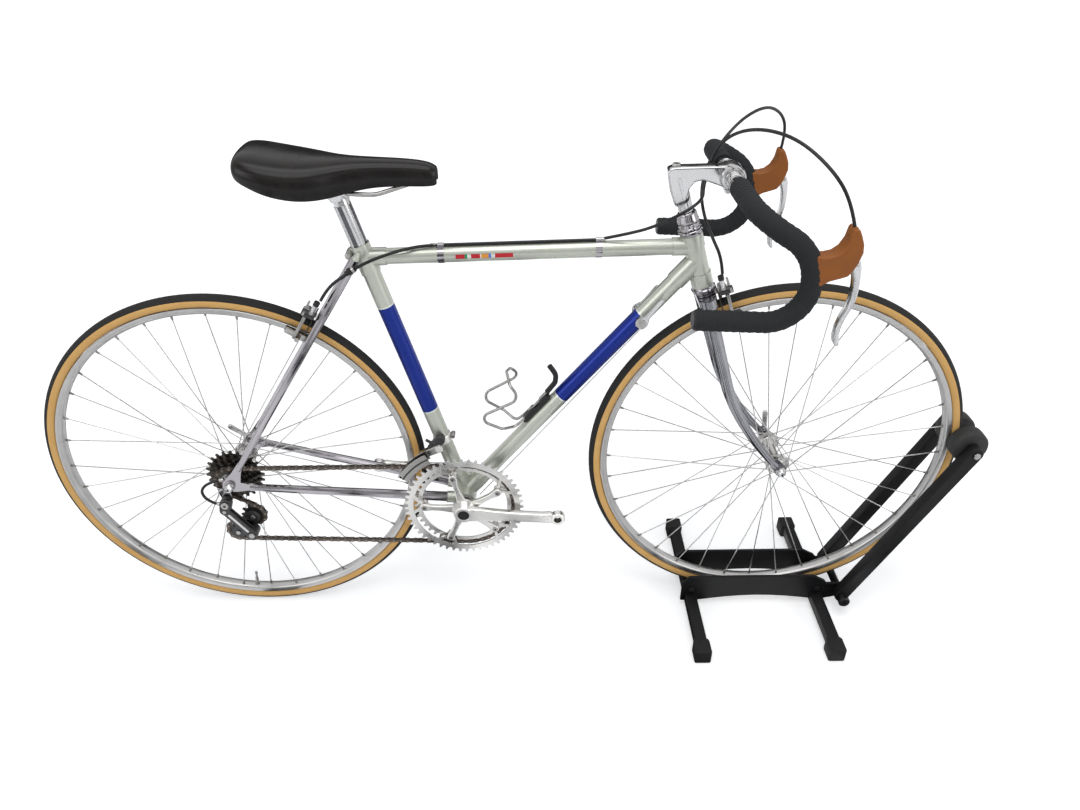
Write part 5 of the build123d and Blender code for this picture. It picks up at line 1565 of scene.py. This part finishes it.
# %% Post head
cradle = outlined([(-17, -4), (-17, 2), (-10, 9), (12, 8.5), (18, 2), (18, -4)], clamp)
neck_low = post_low.lerp(post_high, flute_share)
head_rows = [
    ("polished_alloy", rod("post_neck", neck_low, clamp, 0.0132, 0.0095, 32)),
    ("polished_alloy", across("post_yoke", clamp, 0.0108, -0.0285, 0.0285, 32, 0.0016)),
]
for low, high in both_sides(0.0165, 0.0275):
    head_rows.append(("polished_alloy", plate("rail_cradle", cradle, low, high, 0.0014)))
for x in (-0.012, 0.013):
    foot = clamp + Vector((x, 0, 0))
    bolt = rod("cradle_bolt", foot - up * 0.016, foot + up * 0.007, 0.0028, sides=12)
    head_rows.append(("bare_steel", bolt))
post = joined("fluted_seat_post", [post] + [painted(part, finish) for finish, part in head_rows])
placed(post, "frame", "polished_alloy", "seatpost")
print("post with head", len(post.data.polygons), "faces")

# %% Rails
rail_corners = in_metres([(-104, 32, 33), (-80, 22, 8), (58, 22, 0), (134, 8, 20)])
rail_route = rounded_route([clamp + corner for corner in rail_corners], (0.022, 0.060), 0.004)
rails = both_hands("saddle_rail_pair", painted(wire("left_rail", rail_route, 0.0034), "bare_steel"))
placed(rails, "frame", "steel", "saddle_rails")
print("rail length", round(run_length(rail_route), 3))

# %% [markdown]
# ## Levers on the down tube, and fittings
# The gear levers sit on bosses brazed to the down tube and pull bare wires that run under
# it to the bottom bracket. They are taut and straight, unlike the brake cables.

# %% Shift levers
lever_boss = down_tube_head - down_way * 0.1294
lever_lean = 4
lever_half = [
    (-9, 6), (-4, 9.6), (3, 9.8), (9, 7.2), (14, 4.2), (28, 3.6), (44, 4.0), (50, 3.4), (53, 1.2),
]
lever_turn = atan2(down_way.z, down_way.x) + radians(lever_lean)
lever_blade = laid_out(lever_boss, lever_turn * 180 / pi, mirrored_outline(lever_half))
# Near and far face, radius and finish of the washers and the bolt on each side.
lever_stack = (
    (0.0141, 0.0200, 0.0078, "bare_steel"), (0.0200, 0.0240, 0.0094, "polished_alloy"),
    (0.0275, 0.0290, 0.0075, "bare_steel"), (0.0290, 0.0300, 0.0040, "bare_steel"),
)
shift_rows = []
for side in (1, -1):
    low, high = side_span(side, 0.0235, 0.0280)
    shift_rows.append(("polished_alloy", plate("shift_blade", lever_blade, low, high, 0.0012, 2)))
    for near, far, radius, finish in lever_stack:
        low, high = side_span(side, near, far)
        shift_rows.append((finish, across("lever_stack", lever_boss, radius, low, high, 32, 0.0006)))
placed(assembled("shift_lever_pair", shift_rows), "frame", "polished_alloy", "shifters")
print("gear lever parts", len(shift_rows))

# %% Bare gear wires
wire_radius = 0.0008
for name, side in (("left_gear_line", 1), ("right_gear_line", -1)):
    top = lever_boss - down_normal * 0.0088 + Vector((0, side * 0.0175, 0))
    low = bracket - down_normal * 0.0215 + down_way * 0.016 + Vector((0, side * 0.009, 0))
    middle = top.lerp(low, 0.5) - down_normal * 0.0004
    gear_line = round_curve(name, [top, middle, low], wire_radius)
    spots = centre_line(gear_line)
    gear_line = painted(as_mesh(gear_line), "bare_steel")
    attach(gear_line, "frame")
    print(name, "length", round(run_length(spots), 3))

# %% Small frame fittings
binder = seat_node - seat_fore * 0.0203 + seat_up * 0.012
bracket_cup = [(35.0, 8.9), (35.0, 18.5), (37.5, 18.5), (38.5, 17.0), (38.5, 8.9)]
fittings = [("bare_steel", across("seat_binder", binder, 0.0034, -0.0150, 0.0150, 20, 0.0006))]
for side in (1, -1):
    low, high = side_span(side, 0.0112, 0.0145)
    cap_low = seatstay_high + Vector((0, side * 0.0216, 0)) - stay_way * 0.004
    cap_high = cap_low + stay_way * 0.016 - Vector((0, side * 0.0045, 0))
    fittings += [
        ("bare_steel", across("binder_head", binder, 0.0050, low, high, 24, 0.0008)),
        ("frame_paint", eased(rod("stay_cap", cap_low, cap_high, 0.0076, 0.0030, 20), 0.0012)),
        ("bare_steel", spun("bracket_cup", bracket, facing(side, bracket_cup), 40)),
    ]
print("fittings at the lug and the bracket", len(fittings))

# %% Cable fittings
loop_start = loop_route[0]
ferrule_front = loop_start + Vector((0.006, 0.0004, 0.0018))
ferrule_back = loop_start + Vector((-0.0015, 0, 0))
fittings.append(("bare_steel", rod("loop_ferrule", ferrule_front, ferrule_back, 0.0034)))
for x in (0.138, -0.125):
    spot = on_top_tube(x)
    ferrule = rod("cable_ferrule", spot - top_way * 0.004, spot + top_way * 0.004, 0.0033)
    fittings.append(("bare_steel", ferrule))
barrel_high, barrel_low = held_route[6:8]
barrel_way = (barrel_high - barrel_low).normalized()
barrel_spot = barrel_low.lerp(barrel_high, 0.42) + Vector((0, 0, 0.0006))
# Low and high end, radius, sides and finish of the barrel's body, nut and knurled ring.
barrel_steps = (
    (-9, 9, 4.2, 20, "black_plastic"), (-4, 1, 6.2, 6, "black_plastic"), (3, 7, 5.4, 16, "bare_steel"),
)
for low, high, radius, sides, finish in barrel_steps:
    start, end = barrel_spot + barrel_way * low * mm, barrel_spot + barrel_way * high * mm
    fittings.append((finish, rod("cable_barrel", start, end, radius * mm, sides=sides)))
placed(assembled("frame_fittings", fittings), "frame", "steel")
print("fittings", len(fittings))

# %% [markdown]
# ## Quick releases
# Each axle is hollow and clamped by a skewer: a cam lever on the left, a domed nut on the
# right. The lever is a curved blade, cut as an outline and eased until it feels round.

# %% Quick-release skewers
nut_section = [(0, 2), (0, 9), (4, 9), (9, 7.6), (12, 5), (12.5, 2)]
cam_section = [(0, 2), (0, 8.8), (3, 9), (12, 8), (14, 5.5), (14, 2)]
cam_lever_half = [(-7, 5), (0, 6.6), (8, 5.6), (20, 4.4), (36, 4.6), (47, 5.0), (51, 2.6)]


def quick_release(name, axle, body, node, half_gap, turn):
    """Axle ends, nut and cam lever of one wheel; half_gap is half the width between the dropouts."""
    outer = half_gap + 0.005
    rows = [("bare_steel", across("axle", axle, 0.0047, -outer, outer, 20))]
    for low, high in both_sides(half_gap - 0.005, half_gap - 0.0003):
        rows.append(("bare_steel", across("cone_nut", axle, 0.0082, low, high, 6, 0.0006)))
    nut = [(-outer * 1000 - y, radius) for y, radius in nut_section]
    cam = [(outer * 1000 + y, radius) for y, radius in cam_section]
    blade = laid_out(axle, turn, mirrored_outline(cam_lever_half))
    rows += [
        ("polished_alloy", spun("skewer_nut", axle, nut, 28)),
        ("polished_alloy", spun("skewer_cam", axle, cam, 28)),
        ("polished_alloy", plate("cam_lever", blade, outer + 0.0055, outer + 0.0105, 0.0018, 3)),
    ]
    return placed(assembled(name, rows), body, "steel", node)


for skewer in (
    quick_release("front_quick_release", front_axle, "fork_on_stand", "front_skewer", 0.050, 96),
    quick_release("rear_quick_release", rear_axle, "frame", "rear_skewer", 0.063, 142),
):
    print(skewer.name, "faces", len(skewer.data.polygons))

# %% [markdown]
# ## Front derailleur
# Two curved cheeks hug the chain just above the big ring. They are arcs of the chainring's
# own circle, tied together behind, and hang on a linkage from a band round the seat tube.

# %% Front derailleur cage
cheek_turns = [118 + 30 * step / 12 for step in range(13)]


def ring_slice(outer, inner):
    """The side outline of a slice of a ring about the bracket, from its radii in millimetres."""
    far = [polar(bracket, turn, outer * mm) for turn in cheek_turns]
    near = [polar(bracket, turn, inner * mm) for turn in reversed(cheek_turns)]
    return side_view(far + near)


front_rows = [
    ("mech_alloy", plate("inner_cheek", ring_slice(134, 116), -0.0365, -0.0350, 0.0005)),
    ("mech_alloy", plate("outer_cheek", ring_slice(135, 113.5), -0.0490, -0.0475, 0.0005)),
    # A dark strip on the outer cheek stands in for its slot: painted shade of the cage's inside and its
    # chain, instead of a cut opening.
    ("mech_black", plate("cheek_slot_shade", ring_slice(126, 123), -0.0496, -0.0489, 0.0002)),
    ("bare_steel", across("cheek_tie", polar(bracket, 147, 0.130), 0.0022, -0.0490, -0.0350, 12)),
]
print("front cage parts", len(front_rows))

# %% Front derailleur linkage
front_mech = bracket + seat_up * 0.128
band = rod("mech_band", front_mech - seat_up * 0.007, front_mech + seat_up * 0.007, 0.0166, sides=48)
arm_start = front_mech + Vector((-0.004, 0, -0.002))
arm_foot = polar(bracket, 124, 0.127)
arm_outline = hull_of(arm_start, 0.0078, arm_foot, 0.0062)
body_top, body_foot = arm_start + Vector((0.002, 0, 0.014)), arm_start.lerp(arm_foot, 0.45)
body_outline = hull_of(body_top, 0.0092, body_foot, 0.0080)
band_bolt = front_mech + seat_fore * 0.0195
tail_start, tail_end = arm_start + Vector((0, -0.028, 0)), arm_start + Vector((-0.022, -0.028, 0.016))
front_rows += [
    ("crank_alloy", eased(band, 0.0012)),
    ("bare_steel", across("band_bolt", band_bolt, 0.0042, -0.007, 0.007, 20, 0.0006)),
    ("mech_alloy", plate("mech_arm", arm_outline, -0.0340, -0.0225, 0.0018, 3)),
    ("crank_alloy", across("mech_pivot", arm_start, 0.0070, -0.0365, -0.0150, 28, 0.0012)),
    ("bare_steel", across("mech_pivot_pin", arm_foot, 0.0036, -0.0365, -0.0330, 16, 0.0005)),
    ("mech_black", plate("mech_body", body_outline, -0.0300, -0.0165, 0.0026, 3)),
    ("mech_black", rod("mech_tail", tail_start, tail_end, 0.0034, 0.0026, 16)),
]
placed(assembled("cheeked_front_derailleur", front_rows), "frame", "mech_alloy", "front_derailleur")
print("front derailleur parts", len(front_rows))

# %% [markdown]
# ## Bottle cage
# The cage is one steel wire bent on each side of a bottle, its halves meeting at the top,
# and riveted to a black foot. The route is a few corners joined by small true bends, as the
# wire is.


# %% Bottle cage wires
def on_down_tube(along, out, y=0.0):
    """A place by the down tube: along it from the bracket, out from its middle and to the left."""
    return bracket + (down_way * along + down_normal * out + left * y) * mm


foot_out = 14.35
wire_corners = [
    (222, foot_out + 5, 5), (178, foot_out + 9, 9), (170, 47, 31), (160, 98, 36), (242, 65, 40),
    (246, 92, 30), (250, 103, 0),
]
wire_bends = (0.014, 0.012, 0.014, 0.014, 0.014)
wire_route = rounded_route([on_down_tube(*corner) for corner in wire_corners], wire_bends, 0.002)
left_wire = painted(wire("left_wire", wire_route, 0.0025, 2), "wire_plate")
cage_parts = [both_hands("cage_wires", left_wire)]
hook_corners = [(214, foot_out + 7), (262, foot_out + 9), (286, 25), (299, 34), (305, 54)]
hook_spots = [on_down_tube(along, out) for along, out in hook_corners]
hook_route = rounded_route(hook_spots, (0.020, 0.012, 0.020), 0.003)
grip_start = min(range(len(hook_route)), key=lambda n: (hook_route[n] - hook_spots[1]).length)
print("wire length", round(2 * run_length(wire_route), 3), "hook", round(run_length(hook_route), 3))

# %% Bottle cage foot
foot_corners = [
    (193, foot_out), (193, foot_out + 6), (199, foot_out + 9), (222, foot_out + 9), (226, foot_out + 5),
    (236, foot_out + 5), (240, foot_out + 9), (255, foot_out + 9), (260, foot_out + 5), (260, foot_out),
]
foot_outline = side_view(on_down_tube(along, out) for along, out in foot_corners)
cage_rows = [
    ("black_plastic", plate("cage_foot", foot_outline, -0.0095, 0.0095, 0.0016)),
    ("wire_plate", wire("cage_hook", hook_route, 0.0026, 2)),
    ("black_plastic", wire("hook_grip", hook_route[grip_start:], 0.0046)),
]
for along in (216, 248):
    spot = on_down_tube(along, foot_out + 8)
    screw = rod("cage_screw", spot, spot + down_normal * 0.0030, 0.0040, sides=16)
    cage_rows.append(("bare_steel", screw))
cage_parts += [painted(part, finish) for finish, part in cage_rows]
placed(joined("wire_bottle_cage", cage_parts), "frame", "cage_wire", "bottle_cage")
print("cage parts", len(cage_parts))

# %% [markdown]
# ## Floor stand
# The stand is welded square tube: two feet with rubber caps, two plates that cradle the
# tyre, and two arms that grip it from the front with round rubber pads.

# %% Stand outlines
tyre_radius = 336
foot_half, foot_spread = 11, 125
foot_top = front_axle.z * 1000 - (tyre_radius**2 - (foot_spread - foot_half) ** 2) ** 0.5 - 0.3
foot_middle = foot_top - foot_half
foot_places = (front_axle.x * 1000 - foot_spread, front_axle.x * 1000 + foot_spread)
stand_pivot = Vector((front_axle.x + 0.170, 0, (foot_top + 6) * mm))
sag_depth, sag_steps = 12, 8


def square(x, z, half):
    """A square tube's side outline about a place in millimetres."""
    return outlined([(x + a * half, z + b * half) for a, b in ((-1, -1), (-1, 1), (1, 1), (1, -1))])


back, front = foot_places[0] - foot_half, foot_places[1] + foot_half
pivot_x, pivot_z = stand_pivot.x * 1000, stand_pivot.z * 1000
low_edge = foot_middle - 8
sag_back, sag_front = back + 22, front - 12
sag = []
for step in range(sag_steps + 1):
    share = step / sag_steps
    sag.append((sag_back + (sag_front - sag_back) * share, low_edge + sag_depth * sin(pi * share)))
plate_corners = [
    (front + 4, low_edge), (pivot_x + 8, pivot_z - 16), (pivot_x + 13, pivot_z - 8),
    (pivot_x + 14, pivot_z), (pivot_x + 13, pivot_z + 9), (pivot_x + 8, pivot_z + 16),
    (front + 8, foot_top + 22), (front + 2, foot_top + 30), (front - 22, foot_top + 43),
    (back + 6, foot_top + 43), (back - 8, foot_top + 29), (back - 8, low_edge),
] + sag
print("foot top", round(foot_top, 1), "mm above the floor")

# %% Stand feet and plates
base_rows = []
for x in foot_places:
    foot = plate("stand_foot", square(x, foot_middle, foot_half), -0.184, 0.184, 0.0022, 3)
    base_rows.append(("stand_black", foot))
for low, high in both_sides(0.034, 0.040):
    base_rows.append(("stand_black", plate("stand_plate", outlined(plate_corners), low, high, 0.0010)))
base_rows.append(("stand_black", across("stand_axle", stand_pivot, 0.0078, -0.041, 0.041, 28)))
for x in foot_places:
    spot = Vector((x * mm, 0, (foot_top + 12) * mm))
    for low, high in both_sides(0.0400, 0.0440):
        base_rows.append(("black_plastic", across("plate_bolt", spot, 0.0058, low, high, 6, 0.0006)))
placed(assembled("stand_feet_and_plates", base_rows), "fork_on_stand", "stand_steel", "stand_base")
print("stand base parts", len(base_rows))

# %% Stand caps
cap_z = 15.5
cap_rows = []
for x in foot_places:
    for side in (1, -1):
        low, high = side_span(side, 0.156, 0.188)
        lip_low, lip_high = side_span(side, 0.1535, 0.1575)
        cap_rows += [
            ("cap_rubber", plate("foot_cap", square(x, cap_z, 15.4), low, high, 0.0032, 3)),
            ("cap_rubber", plate("cap_lip", square(x, cap_z, 13.6), lip_low, lip_high, 0.0012, 2)),
        ]
placed(assembled("rubber_foot_caps", cap_rows), "fork_on_stand", "cap_rubber", "stand_caps")
print("cap parts", len(cap_rows))

# %% Stand arms
arm_lean, arm_length = radians(64), 0.382
arm_radius = 0.0130
arm_low, arm_high = 0.0412, 0.0612
arm_top = stand_pivot + Vector((cos(arm_lean), 0, sin(arm_lean))) * arm_length
arm_outline = hull_of(stand_pivot, arm_radius, arm_top, arm_radius, 11)
arm_rows = []
for side in (1, -1):
    low, high = side_span(side, arm_low, arm_high)
    arm_rows.append(("stand_black", plate("stand_arm", arm_outline, low, high, 0.0024, 3)))
    low, high = side_span(side, arm_high - 0.001, arm_high + 0.0036)
    for spot in (stand_pivot, arm_top):
        arm_rows.append(("bare_steel", across("arm_bolt", spot, 0.0066, low, high, 6, 0.0008)))
placed(assembled("stand_arm_pair", arm_rows), "fork_on_stand", "stand_steel", "stand_arms")
print("stand top", [round(v, 3) for v in arm_top])

# %% Stand pads and knob
pad_section = [
    (11.4, 8), (11.4, 26), (12.4, 30), (14.5, 31.6), (18, 31.9), (19, 30.6), (20, 31.9), (26, 31.9),
    (27, 30.6), (28, 31.9), (36, 31.6), (39.5, 29.5), (41, 26), (41, 8),
]
knob_section = [(0, 2), (0, 9.5), (3, 11), (10, 11), (12, 9), (12, 2)]
knob_face = -(arm_high + 0.004)
pad_rows = [("pad_black", spun("tyre_pad", arm_top, facing(side, pad_section), 56)) for side in (1, -1)]
knob = [(knob_face * 1000 - y, radius) for y, radius in knob_section]
pad_rows.append(("black_plastic", spun("pivot_knob", stand_pivot, knob, 20)))
placed(assembled("stand_pads_and_knob", pad_rows), "fork_on_stand", "grip_plastic", "stand_grips")
print("pads and knob", len(pad_rows))
